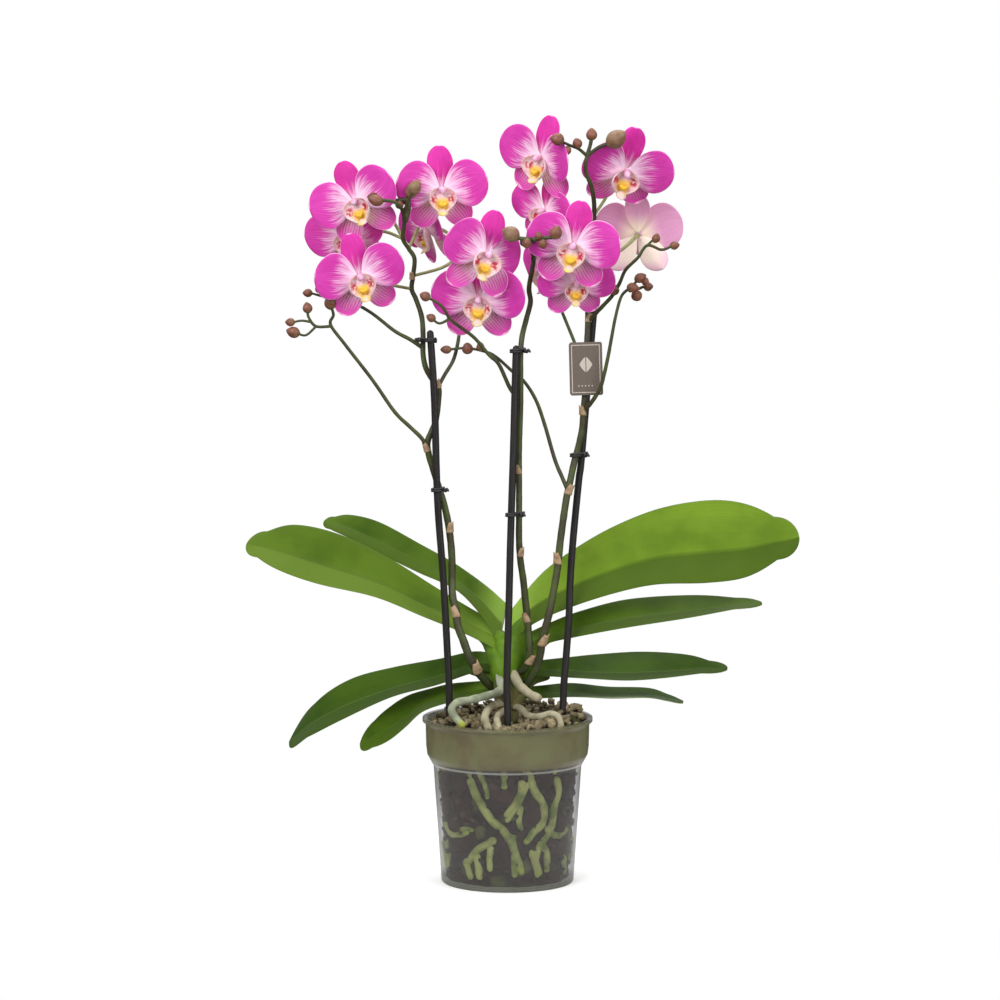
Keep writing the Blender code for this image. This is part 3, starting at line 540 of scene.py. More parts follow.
# %% Flower places
# Centre, turn, tilt, roll, size, changes to a tepal's rake, the spike, and the stalk's first points.
FLOWERS = {
    "flower_01": ((-105, -10, 479), -8, 4, 22, 1.0, {}, "spike_left",
                  [(-73, 0, 454), (-80, 4, 466), (-92, 4, 477)]),
    "flower_02": ((-112, 20, 455), -20, 10, 15, 0.95, {}, "spike_left",
                  [(-73, 0, 454), (-85, 16, 458), (-98, 30, 458)]),
    "flower_03": ((-102, -24, 428), 6, 8, 14, 1.0, {}, "spike_left",
                  [(-67, 1, 419), (-82, -3, 422), (-92, -8, 424)]),
    "flower_04": ((-46, -4, 487), 6, 6, 2, 1.02, {}, "spike_left",
                  [(-69, 2, 447), (-62, 11, 462), (-50, 12, 483)]),
    "flower_05": ((-56, 32, 458), -58, 14, 10, 0.92, {}, "spike_left",
                  [(-66, 2, 428), (-44, 14, 434), (-33, 32, 444), (-42, 39, 456)]),
    "flower_06": ((-15, -46, 444), 14, 6, -16, 1.04, {"petal_r": 38}, "spike_left",
                  [(-14, 1.6, 422.5), (-10.5, -1, 428.5), (-5, -9, 437), (-9, -26, 444)]),
    "flower_07": ((-20, -21, 412), -6, 10, -2, 1.04, {}, "spike_left",
                  [(-19, 6, 414), (-18, 1, 417), (-19, -5, 415)]),
    "flower_08": ((45, -46, 450), -8, 6, -10, 1.04, {}, "spike_right",
                  [(60, 8, 455), (54, -8, 458), (48, -26, 457)]),
    "flower_09": ((28, 12, 430), -68, 10, 0, 0.9, {}, "spike_right",
                  [(38, 4, 403), (44, 10, 412), (43, 16, 424)]),
    "flower_10": ((47, -19, 423), 6, 14, 0, 0.86, {}, "spike_right",
                  [(57, 3, 422), (54, 1, 425), (50, -2, 426)]),
    "flower_11": ((23, -3, 509), -32, 6, -12, 1.0, {"petal_r": -14}, "spike_middle",
                  [(32, 14, 502), (31, 10, 507)]),
    "flower_12": ((26, 14, 472), -38, 8, -14, 0.84, {}, "spike_middle",
                  [(39, 31, 474), (36, 26, 474)]),
    "flower_13": ((82, 4, 500), 8, 26, -12, 1.04, {}, "spike_right",
                  [(60.5, 6, 470), (70, 17, 484), (79, 19, 502)]),
    "flower_14": ((92, 38, 455), 172, -4, 0, 1.0, {}, "spike_right",
                  [(58, 6, 438), (73, 6, 442), (84, 14, 449)]),
}
print("flowers to build:", len(FLOWERS))

# %% Tepals
# Angle, length, width, backward rake, curl, cup, depth of the base, and the place of the widest point.
TEPALS = {
    "sepal_top": (90.3, 31, 18, 7, 1.0, 1.2, 1.25, 0.60),
    "sepal_l": (-128.6, 30, 19, 7, 1.0, -2.2, 1.15, 0.62),
    "sepal_r": (-51.7, 30, 19, 8, 1.0, -2.2, 2.65, 0.62),
    "petal_l": (161.0, 32.5, 33, -5, -1.2, 0.4, -0.85, 0.56),
    "petal_r": (18.0, 32.5, 33, -5, -1.2, 0.4, -0.95, 0.56),
}


def flower_frame(centre, turn, tilt, roll, size):
    """Places a flower that faces -Y: roll about its own axis, tilt its face down, then turn it about Z."""
    angles = Euler((math.radians(tilt), 0, 0)).to_matrix().to_4x4()
    spin = Matrix.Rotation(math.radians(-roll), 4, "Y")
    about = Matrix.Rotation(math.radians(turn), 4, "Z")
    return Matrix.Translation(Vector(centre)) @ about @ angles @ spin @ Matrix.Scale(size, 4)


def outline(along, peak, claw):
    """Half width of a tepal, from 0 to 1: a sine from the narrow claw up to the peak, then a quarter
    circle."""
    part = np.clip(along, 0.003, 0.9995)
    rise = np.sin(0.5 * math.pi * np.minimum(part / peak, 1)) ** claw
    fall = np.sqrt(1 - (np.maximum(part - peak, 0) / (1 - peak)) ** 2.1)
    return rise * fall


def tepal_sheet(angle, length, width, rake, curl, cup, lift, peak, wave, phase):
    """The middle sheet of a petal or sepal: along runs from the heart outward and across from edge to
    edge. The depth leans, curls and cups, ripples near the edge and has a shallow channel along the
    middle. The width swells and shrinks a little, from phase."""
    turn = math.radians(angle)
    out = np.array((math.cos(turn), 0, math.sin(turn)))
    side = np.array((-math.sin(turn), 0, math.cos(turn)))
    lean = math.radians(rake)

    def middle(along, across):
        reach = 1.2 + along * (length - 1.2)
        uneven = 1 + 0.04 * np.sin(7.5 * along + phase + 2.0 * np.sign(across)) * along
        half = 0.5 * width * outline(along, peak, 0.85) * uneven
        depth = lift + reach * math.sin(lean) + (2 * curl * along + cup * across**2) * along
        ripple = wave * np.sin(6.5 * along + 2.3 * np.sign(across)) * np.abs(across) ** 3 * along
        channel = 0.5 * np.exp(-(across / 0.10) ** 2) * (1 - along)
        flat = out * (reach * math.cos(lean))[..., None] + side * (across * half)[..., None]
        flat[..., 1] += depth + ripple + channel
        return flat

    return middle


print("tepals:", ", ".join(TEPALS))


# %% Lip
def lip_cup(along, across):
    """The lip's bowl: from the foot of the column down to the front, its sides wrap round towards the
    viewer. Across is an angle round the bowl, and the radius is a sine of along."""
    part = np.clip(along, 0.003, 0.997)
    radius = 9.4 * np.sin(math.pi * part**0.75) ** 0.55
    angle = math.radians(104) * across
    x = radius * np.sin(angle)
    y = -1.6 - 3.4 * part - 0.62 * radius * (1 - np.cos(angle))
    z = 1.5 - 16.5 * part + 2.4 * np.abs(across) ** 3
    return np.stack([x, y, z], axis=-1)


def lobe_sheet(start, way, side, length, width, cup):
    """A small lobe of the lip from start along way, hollowed across by cup."""
    start, way, side = (np.array(row, float) for row in (start, way, side))
    way, side = unit(way), unit(side)
    up = np.cross(way, side)

    def middle(along, across):
        part = np.clip(along, 0.004, 0.996)
        half = 0.5 * width * np.sin(math.pi * part**0.9) ** 0.6
        bend = cup * (across**2 - 0.4) * half + 0.22 * length * along**2
        point = start + way * (along * length)[..., None] + side * (across * half)[..., None]
        return point + up * bend[..., None]

    return middle


print("the lip's bowl and lobes are ready")

# %% One flower
TEPAL_LOOKS = {"sepal_top": TOP_SEPAL, "sepal_l": SIDE_SEPAL, "sepal_r": SIDE_SEPAL, "petal_l": PETAL,
               "petal_r": PETAL}
COLUMN_LINE = ((0, 1.5, 1.4), (0, -3, 1.8), (0, -6.5, 1.8), (0, -9, 0.2))
CALLUS_LINE = ((-3.0, -6.2, -6.4), (0, -7.0, -8.2), (3.0, -6.2, -6.4))


def build_flower(name, row):
    """The nine pieces of one flower: five tepals, the lip's bowl and tongue, the column and the callus."""
    place = flower_frame(*row[:5])
    size, changes = row[4:6]
    short = name[-2:]
    wave = 0.5 + 0.5 * rng.random()
    for key, (angle, length, width, rake, curl, cup, lift, peak) in TEPALS.items():
        ripple = wave * (1.0 if key[0] == "p" else 0.3)
        phase = 6.28 * rng.random()
        middle = tepal_sheet(angle, length, width, rake + changes.get(key, 0), curl, cup, lift, peak,
                             ripple, phase)
        blade(f"{key}_{short}", middle, 0.9, name, TEPAL_LOOKS[key], 26, 24, place)
    blade(f"lip_cup_{short}", lip_cup, 0.8, name, LIP, 22, 28, place)
    tongue = lobe_sheet((0, -5.5, -11.0), (0, -0.75, -0.8), (1, 0, 0), 7.0, 7.5, -0.5)
    blade(f"lip_tongue_{short}", tongue, 0.9, name, TONGUE, 14, 14, place)
    rod = [tuple(place @ Vector(point)) for point in COLUMN_LINE]
    bar(f"column_{short}", rod, np.array((2.4, 2.2, 2.3, 1.9)) * size, name, COLUMN, 14, 12)
    knob = [tuple(place @ Vector(point)) for point in CALLUS_LINE]
    bar(f"callus_{short}", knob, np.array((1.3, 1.9, 1.3)) * size, name, CALLUS, 12, 10, 0.1)


for flower_name, flower_row in FLOWERS.items():
    build_flower(flower_name, flower_row)
print("flowers:", len(FLOWERS), "with", len(TEPALS) + 4, "pieces each")

# %% [markdown]
# ## Leaves
# The leaves are thick and strap-shaped, with a sunken middle rib and a soft waxy shine. A bent plane
# would do for one leaf, but eight leaves with their own twists are easier to give by their front and back
# edges at a few stations from the crown to the tip. The sheet between the edges sinks into a shallow V.

# %% Leaf shapes
LEAVES = {
    "leaf_left_1": [
        ((-4, 0, 163), (-4, 16, 180)),
        ((-30, 1, 176), (-24, 22, 190)),
        ((-60, 0, 188), (-50, 30, 205)),
        ((-93, -3, 202), (-84, 34, 226)),
        ((-132, -5, 212), (-119, 36, 242)),
        ((-160, -5, 222), (-150, 33, 249)),
        ((-176, 2, 230), (-170, 23, 246)),
        ((-184, 10, 238), (-184, 12, 239)),
    ],
    "leaf_left_2": [
        ((-6, 5, 170), (-1, 18, 195)),
        ((-22, 15, 191), (-16, 30, 207)),
        ((-38, 29, 204), (-38, 45, 221)),
        ((-64, 43, 214), (-62, 57, 233)),
        ((-92, 52, 227), (-91, 68, 247)),
        ((-115, 58, 238), (-112, 72, 252)),
        ((-127, 62, 243), (-124, 71, 251)),
        ((-132, 66, 247), (-132, 68, 248)),
    ],
    "leaf_left_3": [
        ((-4, 1, 147), (-4, 16, 158)),
        ((-20, 1, 149), (-23, 18, 161)),
        ((-50, 1, 139), (-48, 26, 155)),
        ((-83, -4, 131), (-80, 32, 148)),
        ((-118, -9, 116), (-112, 28, 139)),
        ((-141, -10, 104), (-137, 20, 123)),
        ((-154, 1, 97), (-154, 3, 99)),
    ],
    "leaf_left_4": [
        ((-4, 2, 134), (-4, 15, 141)),
        ((-24, 0, 131), (-23, 14, 140)),
        ((-42, -2, 127), (-41, 18, 138)),
        ((-60, -5, 121), (-56, 20, 134)),
        ((-72, -9, 111), (-70, 22, 129)),
        ((-84, -12, 102), (-82, 18, 122)),
        ((-95, -12, 97), (-94, 8, 113)),
        ((-104, -7, 97), (-104, -5, 99)),
    ],
    "leaf_right_1": [
        ((4, 0, 172), (2, 16, 190)),
        ((20, 1, 184), (24, 27, 215)),
        ((44, 1, 194), (48, 33, 233)),
        ((75, 0, 204), (76, 36, 249)),
        ((105, -1, 211), (108, 37, 261)),
        ((140, -2, 213), (142, 37, 266)),
        ((168, -1, 217), (168, 34, 264)),
        ((190, 4, 228), (189, 26, 256)),
        ((206, 14, 242), (206, 16, 243)),
    ],
    "leaf_right_2": [
        ((4, 1, 159), (4, 15, 169)),
        ((28, 0, 169), (30, 14, 182)),
        ((46, 0, 173), (52, 20, 190)),
        ((86, -2, 181), (85, 28, 197)),
        ((128, -1, 188), (130, 32, 199)),
        ((160, 5, 193), (162, 27, 198)),
        ((180, 14, 195), (180, 17, 196)),
    ],
    "leaf_right_3": [
        ((4, 2, 145), (4, 15, 152)),
        ((24, 0, 146), (22, 14, 155)),
        ((42, -2, 145), (45, 20, 157)),
        ((60, -9, 145), (62, 26, 158)),
        ((84, -13, 145), (94, 29, 159)),
        ((110, -13, 147), (126, 21, 158)),
        ((136, -7, 149), (143, 13, 155)),
        ((155, 2, 150), (155, 4, 151)),
    ],
    "leaf_right_4": [
        ((4, 3, 129), (4, 15, 135)),
        ((24, 1, 130), (22, 14, 137)),
        ((44, 0, 131), (46, 22, 138)),
        ((72, 0, 131), (72, 30, 134)),
        ((99, 9, 130), (100, 35, 132)),
        ((115, 15, 126), (114, 33, 128)),
        ((125, 24, 123), (125, 26, 124)),
    ],
}
print("leaves to build:", len(LEAVES))


# %% Leaf sheet
def leaf_sheet(stations):
    """The sheet between a leaf's two edges. Over the last station the width follows a quarter circle,
    so that the tip is round; across the leaf the sheet sinks to the rib in the middle."""
    front = [row[0] for row in stations]
    back = [row[1] for row in stations]
    gaps = len(stations) - 1

    def middle(along, across):
        centre = 0.5 * (smooth(front, along) + smooth(back, along))
        hold = np.minimum(along, 1 - 1 / gaps)
        left = np.clip((1 - along) * gaps, 0.0004, 1)
        span = (smooth(back, hold) - smooth(front, hold)) * np.sqrt(2 * left - left**2)[..., None]
        width = np.linalg.norm(span, axis=-1)
        sink = np.sin(math.pi * np.clip(along, 0, 1) ** 0.8) ** 0.4
        trough = -0.13 * width * (1 - np.abs(across) ** 1.15) * sink
        droop = 0.012 * width * np.sin(9 * along + 1.5 * np.sign(across)) * across**2
        point = centre + span * (0.5 * across)[..., None]
        point[..., 2] += trough + droop
        return point

    return middle


print("the leaf sheet is ready")


# %% Leaf finish
def leaf_finish(name, light, dark, low, rib_tint):
    """Waxy green: long faint veins, soft clouds of darker green, a pale rib line, a thin dark rim, and
    painted light and shade on the front half of the blade.
    """
    finish = Finish(name, 0.45, 0.06)
    along, across = finish.skin()
    side = finish.side(across)
    where = finish.vector(finish.math("MULTIPLY", along, 2.0), finish.math("MULTIPLY", across, 60.0))
    grain = finish.noise(1.0, where, 2.0)
    cloud = finish.noise(22.0)
    shade = finish.rise(cloud, 0.3, 0.75)
    body = finish.mix(shade, light, dark)
    body = finish.tint(body, dark, finish.rise(grain, 0.4, 0.7), 0.30)
    body = finish.tint(body, (0.27, 0.44, 0.07), finish.rise(along, 0.22, 0.0), 0.55)
    rib = finish.rise(side, 0.06, 0.0)
    body = finish.tint(body, rib_tint, rib, 0.5)
    rim = finish.rise(side, 0.95, 1.0)
    body = finish.tint(body, (0.06, 0.12, 0.02), rim, 0.45)
    # Painted light and shade: low is the tone of the front half of the blade, where the V fold turns it its
    # own way to the lamps. It is darker than the body in three finishes and lighter in leaf_mid.
    body = finish.tint(body, low, finish.rise(across, 0.53, 0.45), 0.8)
    under = finish.tint((0.28, 0.34, 0.18), (0.19, 0.26, 0.10), shade, 0.6)
    colour = finish.faces(under, body)
    finish.bump(grain, 0.10, 0.0004)
    return finish.paint(colour)


# Painted shade: leaf_second and leaf_dark are darker copies of one waxy green, for the leaves behind and
# below the two front leaves, which take leaf_light and leaf_mid.
LEAF_LIGHT = leaf_finish("leaf_light", (0.150, 0.250, 0.018), (0.085, 0.155, 0.010), (0.038, 0.072, 0.005),
                         (0.07, 0.13, 0.010))
LEAF_MID = leaf_finish("leaf_mid", (0.082, 0.145, 0.009), (0.050, 0.096, 0.006), (0.095, 0.160, 0.012),
                       (0.05, 0.09, 0.008))
LEAF_DARK = leaf_finish("leaf_dark", (0.043, 0.088, 0.005), (0.018, 0.044, 0.003), (0.034, 0.068, 0.005),
                        (0.09, 0.15, 0.035))
LEAF_SECOND = leaf_finish("leaf_second", (0.070, 0.128, 0.009), (0.032, 0.070, 0.005),
                          (0.056, 0.100, 0.008), (0.09, 0.15, 0.035))
print("leaf finishes are ready")

# %% Leaves built
LEAF_LOOKS = {"leaf_right_1": LEAF_LIGHT, "leaf_left_1": LEAF_MID, "leaf_left_2": LEAF_SECOND,
              "leaf_left_4": LEAF_SECOND, "leaf_right_2": LEAF_SECOND}
for leaf_name, leaf_stations in LEAVES.items():
    leaf_look = LEAF_LOOKS.get(leaf_name, LEAF_DARK)
    blade(f"{leaf_name}_blade", leaf_sheet(leaf_stations), 2.0, leaf_name, leaf_look, 72, 32,
          face=(0, -0.3, 1))
print("leaves:", len(LEAVES))

# %% [markdown]
# ## Crown
# The short stem is hidden by the clasping bases of the leaves, which part in a Y. One sculpted lump would
# be the exact way. A tapering bar for each base, growing out of the stem and ending under its leaf, is
# nearly as close and far simpler.


# %% Crown
def crown_finish():
    """Fresh green, duller towards the leaves and brown at the foot."""
    finish = Finish("crown_sheath", 0.42, 0.10)
    height = finish.height()
    grain = finish.rise(finish.noise(60.0), 0.35, 0.7)
    body = finish.mix(grain, (0.105, 0.200, 0.012), (0.058, 0.128, 0.008))
    body = finish.tint(body, (0.060, 0.118, 0.008), finish.rise(height, 0.165, 0.200), 0.8)
    body = finish.tint(body, (0.15, 0.12, 0.06), finish.rise(height, 0.150, 0.132), 0.85)
    finish.bump(grain, 0.08, 0.0004)
    return finish.paint(body)


CROWN_SKIN = crown_finish()
PAPER_SKIN = plain_flesh("papery_scrap", (0.34, 0.37, 0.27), (0.22, 0.26, 0.16), 0.7)
CROWN_ARMS = {
    "arm_left_low": ([(0, 4, 124), (-3, 0, 148), (-8, 4, 160), (-14, 10, 168), (-21, 14, 173)],
                     (8.0, 9.0, 7.0, 4.0, 2)),
    "arm_left_high": ([(0, 6, 126), (-2, 4, 158), (-4, 8, 169), (-7, 12, 175), (-10, 16, 179)],
                     (8.0, 9.0, 6.5, 4.0, 2)),
    "arm_right_high": ([(1, 6, 126), (4, 3, 158), (7, 7, 174), (12, 13, 184), (18, 18, 190)],
                     (8.0, 9.0, 7.0, 4.0, 2)),
    "arm_right_low": ([(1, 5, 124), (5, 4, 144), (11, 8, 156), (20, 13, 164), (30, 18, 170)],
                     (8.0, 8.5, 6.5, 4.5, 2)),
    "arm_left_foot": ([(0, 6, 120), (-4, 4, 136), (-11, 8, 144), (-20, 12, 147), (-30, 16, 148)],
                     (7.5, 7.5, 6.0, 4.0, 2)),
    "arm_right_foot": ([(1, 6, 120), (5, 5, 132), (12, 9, 139), (20, 13, 142), (30, 16, 143)],
                     (7.5, 7.5, 5.5, 3.5, 2)),
}
for arm_name, (line, radii) in CROWN_ARMS.items():
    bar(arm_name, line, radii, "crown", CROWN_SKIN, 40, 20, 0.03)
core = [(0, 8, 104), (0, 8, 125), (0, 8, 145), (0, 8, 165)]
bar("crown_core", core, (7.0, 8.5, 9.0, 6.0), "crown", CROWN_SKIN, 24, 20, 0.05)
scrap = lobe_sheet((-4.5, -9.6, 136), (0.02, 0.06, 1), (1, 0.15, 0), 26, 8.0, 0.4)
blade("papery_scrap", scrap, 0.5, "crown", PAPER_SKIN, 20, 12)
print("crown arms:", len(CROWN_ARMS))

# %% [markdown]
# ## Flower spikes
# A spike is a wiry stem, olive green to dark brown, that thins as it climbs and bends a little at each
# joint. A curve with a bevel would give an even tube. Rings worked out along the line can also swell a
# little, as a living stem does. The short stalks behind the flowers are paler.

# %% Spikes
# Each run is a line of points with the radius at its start and at its end; the first run is the main stem.
SPIKES = {
    "spike_left": [
        ([(-5, 5, 134), (-12, 0, 139), (-17, -5, 145), (-22, -9, 152), (-27, -12, 162), (-31, -12, 173),
          (-35, -12, 184), (-36, -10, 194), (-38.5, -8, 203), (-39, -5, 215), (-39, -4.5, 229),
          (-40, -4.5, 243), (-42, -4.5, 257), (-45, -5, 270), (-49, -5.5, 283), (-52, -6, 293),
          (-55, -6, 303), (-56, -6, 312), (-53, -6, 320), (-50, -6, 328), (-48, -6, 346),
          (-49, -6, 352), (-53, -6, 357), (-57, -6, 364), (-59, -5, 374),
          (-59, -4, 388), (-60, -3, 400), (-64, -1, 412), (-67, 1, 419), (-66, 2, 428),
          (-65, 2, 440), (-69, 2, 447), (-73, 0, 454), (-72, -8, 463), (-72, -18, 471), (-74, -25, 477),
          (-79, -29, 481), (-87, -31, 482)], 3.1, 1.2),
        ([(-55, -6, 306), (-60, -8, 315), (-68, -9, 323), (-79, -10, 334), (-94, -12, 356),
        (-113, -14, 381), (-123, -16, 395), (-121, -17, 402), (-123, -18, 409)], 1.5, 1.0),
        ([(-122, -16, 394), (-133, -17, 394), (-138, -18, 400), (-139, -18, 405)], 1.1, 0.9),
        ([(-136, -18, 397), (-143, -18, 398), (-149, -19, 397)], 0.9, 0.8),
        ([(-133, -17, 394), (-140, -18, 388), (-146, -18, 389)], 0.9, 0.8),
        ([(-59, -5, 378), (-68, -5, 384), (-79, -4, 390), (-96, -2, 403), (-113, -6, 412), (-126, -12, 414),
          (-137, -14, 417)], 1.5, 0.8),
        ([(-125.2, -11.6, 413.4), (-130, -14, 419)], 0.95, 0.8),
        ([(-72.4, -19.6, 472.2), (-68, -26, 483), (-65, -28, 489)], 1.15, 0.9),
        ([(-49, -6, 350), (-44, -2, 359), (-38, 2, 369), (-35, 4, 380), (-33, 7, 390), (-27, 8, 402),
          (-19, 6, 414), (-12, 0, 426)], 1.4, 1.1),
    ],
    "spike_middle": [
        ([(3, 4, 146), (8, -2, 149), (13, -9, 154), (15.5, -12, 163), (14.5, -12, 181), (12.5, -12, 201),
          (11, -14, 216), (9, -16, 230), (8, -19, 245), (8, -19, 263), (8, -18, 285), (8, -17, 308),
          (9, -16, 342), (9, -14, 372), (10, -11, 386), (13, -5, 398), (16, 0, 410), (15, 1, 420),
          (18, 2, 438), (18, 4, 448), (27, 22, 455), (38, 33, 464),
          (40, 31, 478), (37, 24, 492), (32, 13, 502)], 2.8, 1.3),
        ([(9, -15, 342), (2, -13, 350), (-6, -12, 367), (-13, -14, 374), (-23, -18, 386), (-33, -23, 394),
          (-40, -28, 400), (-44, -31, 407), (-48, -33, 411), (-55, -34, 415)], 1.5, 0.9),
        ([(-40, -28, 400), (-47, -31, 397), (-52, -33, 400)], 1.0, 0.8),
        ([(18, 4, 448), (12, -5, 454), (1, -14, 456)], 1.2, 1.0),
        ([(18, 4, 448), (24, -5, 452), (29, -9, 455), (32, -12, 458)], 1.2, 0.9),
    ],
    "spike_right": [
        ([(5, 5, 134), (10, -1, 137), (15, -6, 143), (20, -10, 153), (23, -13, 164), (24.5, -15, 175),
          (28, -16, 188), (31, -15, 202), (35, -13, 225), (37, -12, 244), (41, -10, 272), (44, -8, 286),
          (47, -6.5, 300), (49, -6, 307), (52, -6, 321), (53, -6, 334), (54, -5.5, 346), (55, -4, 366),
          (55.5, -2.5, 384), (56, -1, 396), (56, 1, 408), (57, 3, 422), (58, 6, 438), (60, 8, 455),
          (60.5, 6, 470), (60, -3, 481), (58, -11, 491), (54, -15, 502), (55, -16, 512), (57, -16, 519),
          (58, -16, 524)], 3.1, 1.3),
        ([(55, -16, 512), (49, -20, 517), (42, -27, 520), (36, -31, 523)], 1.2, 0.9),
        ([(55, -16, 512), (63, -18, 518), (72, -20, 521)], 1.3, 1.2),
        ([(53, -6, 334), (58, -12, 340), (64, -16, 350), (67, -17, 360), (70, -18, 374), (72, -18, 385),
          (75, -18, 401), (79, -18, 415), (85, -19, 421), (91, -20, 427)], 1.6, 0.9),
        ([(56, -1, 396), (64, -6, 405), (73, -9, 415), (78, -11, 424), (82, -12, 433), (90, -13, 441),
          (97, -13, 450), (107, -13, 447), (115, -13, 450)], 1.5, 0.9),
        ([(97, -13, 450), (101, -13, 454)], 0.9, 0.8),
        ([(42, -9.5, 279), (38, -7, 288), (33, -4, 300), (26, -2, 324), (20, -3, 341), (12, -4, 354),
          (3, -5, 362), (-7, -5, 371), (-14, -5, 375), (-28, -6, 378), (-42, -6, 377)], 1.5, 0.9),
        ([(55, -4, 366), (50, 0, 374), (45, 3, 386), (38, 4, 403)], 1.3, 1.1),
    ],
}


# %% Spike finish
def spike_finish():
    """Olive green clouded with brown, darker at the foot, with fine pale specks."""
    finish = Finish("spike_skin", 0.48, 0.35)
    height = finish.height()
    cloud = finish.noise(60.0)
    specks = finish.rise(finish.noise(1400.0), 0.55, 0.7)
    body = finish.mix(finish.rise(cloud, 0.35, 0.65), (0.056, 0.078, 0.017), (0.040, 0.034, 0.015))
    body = finish.tint(body, (0.028, 0.040, 0.015), finish.rise(height, 0.20, 0.13), 0.6)
    body = finish.tint(body, (0.16, 0.13, 0.08), specks, 0.25)
    finish.bump(specks, 0.1, 0.0002)
    return finish.paint(body)


SPIKE_SKIN = spike_finish()
STALK_SKIN = plain_flesh("stalk_skin", (0.30, 0.34, 0.13), (0.24, 0.20, 0.10), 0.5)
BRACT_SKIN = plain_flesh("dry_scale", (0.42, 0.30, 0.175), (0.26, 0.16, 0.09), 0.7)


# %% Spikes built
def stalk_line(row):
    """The flower's own stalk, from the spike to the middle of the flower's back."""
    place = flower_frame(*row[:5])
    return [*row[7], tuple(place @ Vector((0, 7.0, 0))), tuple(place @ Vector((0, 2.0, 0)))]


for spike_name, runs in SPIKES.items():
    for k, (line, first, last) in enumerate(runs):
        bar(f"{spike_name}_stem_{k + 1}", line, (first, last), spike_name, SPIKE_SKIN,
            7 * len(line), 14, 0.03)
for flower_name, flower_row in FLOWERS.items():
    bar(f"stalk_{flower_name[-2:]}", stalk_line(flower_row), (1.1, 1.2, 1.5), flower_row[6],
        STALK_SKIN, 24, 12)
print("spike runs:", sum(len(runs) for runs in SPIKES.values()))

# %% [markdown]
# ### Joints and dry scales
# At each joint a dry scale hugs the stem: a small leaf that has turned to paper. Modelling each by hand
# isn't worth it at this size, so a short blade is wrapped round the stem, on the left or right in turn.

# %% Scales
# Where each scale sits on the main stem, and the stem's radius there.
SCALES = {
    "spike_left": [(-22, -9, 152, 3.4), (-36, -11, 191, 3.1), (-41, -4.5, 250, 2.7), (-55, -6, 307, 2.5),
                   (-49, -6, 351, 2.3), (-66, 1.5, 426, 2.0)],
    "spike_middle": [(15.5, -12, 158, 3.0), (13.5, -12, 187, 2.6), (8.6, -17, 235, 2.5),
                     (8, -17.6, 292, 2.4)],
    "spike_right": [(24, -14.5, 172, 3.3), (35, -12.7, 229, 3.0), (42, -9.5, 277, 2.8), (53, -6, 333, 2.5),
                    (56, -1, 397, 2.3)],
}


def scale_sheet(run, spot, radius, turn):
    """A pointed scale that wraps the stem at the place of the spike's main line nearest to spot."""
    path = smooth(run, np.linspace(0, 1, 400))
    near = int(np.argmin(np.linalg.norm(path - np.array(spot), axis=1)))
    way = unit(path[min(near + 4, 399)] - path[max(near - 4, 0)])
    face = np.array((math.sin(turn), -math.cos(turn), 0.0))
    side = unit(np.cross(way, face))
    face = np.cross(side, way)
    start = path[near] - way * radius * 0.6

    def middle(along, across):
        angle = across * (2.0 - 1.3 * along)
        reach = radius * (1.10 + 0.25 * along**2)
        point = start + way * (along * radius * (2.1 + 0.7 * across**2))[..., None]
        return point + face * (reach * np.cos(angle))[..., None] + side * (reach * np.sin(angle))[..., None]

    return middle


for spike_name, spots in SCALES.items():
    for k, (x, y, z, radius) in enumerate(spots):
        sheet = scale_sheet(SPIKES[spike_name][0][0], (x, y, z), radius, 0.9 * (-1) ** k)
        blade(f"{spike_name}_scale_{k + 1}", sheet, 0.5, spike_name, BRACT_SKIN, 10, 16)
print("scales:", sum(len(spots) for spots in SCALES.values()))

# %% [markdown]
# ### Buds
# A bud is a closed flower: a plump egg with three soft ridges where the sepals meet, reddish brown with a
# greener foot. A stretched sphere has no ridges, so the egg is worked out ring by ring. The young ones
# are nearly round.

# %% Buds
# Centre, length, width and the way the tip points.
BUDS = {
    "spike_left": [
        ((-91, -31, 482), 11, 8, (-1, -0.3, 0.3)), ((-64, -28, 491), 12, 9, (0.6, -0.3, 1)),
        ((-123, -18, 411), 11, 9, (0, -0.2, 1)), ((-139, -18, 407), 8, 7, (-0.2, 0, 1)),
        ((-151, -19, 397), 7, 6, (-1, 0, 0)), ((-149, -18, 390), 10, 8, (-1, 0, 0.3)),
        ((-139, -14, 417), 7, 6, (-1, 0, 0)), ((-131, -14, 420), 7, 6, (-0.5, 0, 1)),
    ],
    "spike_middle": [
        ((-57, -35, 416), 8, 7, (-1, 0, 0.4)), ((-53, -33, 401), 7, 6, (-1, 0, 0.5)),
        ((0, -15, 456), 13, 11, (-1, -0.3, 0.4)), ((12, -9, 452), 9, 7, (0.2, -1, 0)),
        ((32, -12, 459), 11, 9, (0.6, -0.4, 1)), ((26, -9, 450), 8, 7, (0.2, -1, -0.4)),
    ],
    "spike_right": [
        ((34, -32, 524), 10, 9, (-1, -0.3, 0.2)), ((48, -21, 521), 8, 7, (-0.3, -0.6, 1)),
        ((58, -16, 527), 9, 8, (0, -0.2, 1)), ((75, -20, 524), 16, 13, (0.8, -0.2, 0.6)),
        ((92, -20, 428), 9, 7, (1, 0, 0.5)), ((87, -20, 421), 9, 7, (1, 0, -0.2)),
        ((103, -13, 455), 7, 6, (0.4, 0, 1)), ((116, -13, 450), 7, 6, (1, 0, 0.2)),
        ((-28, -6, 378), 9, 8, (0, -0.6, 1)), ((-43, -6, 377), 8, 6, (-1, 0, 0)),
        ((-19, -6, 379), 7, 6, (0, 0, 1)), ((74, -10, 419), 9, 8, (0.3, -1, 0.2)),
    ],
}


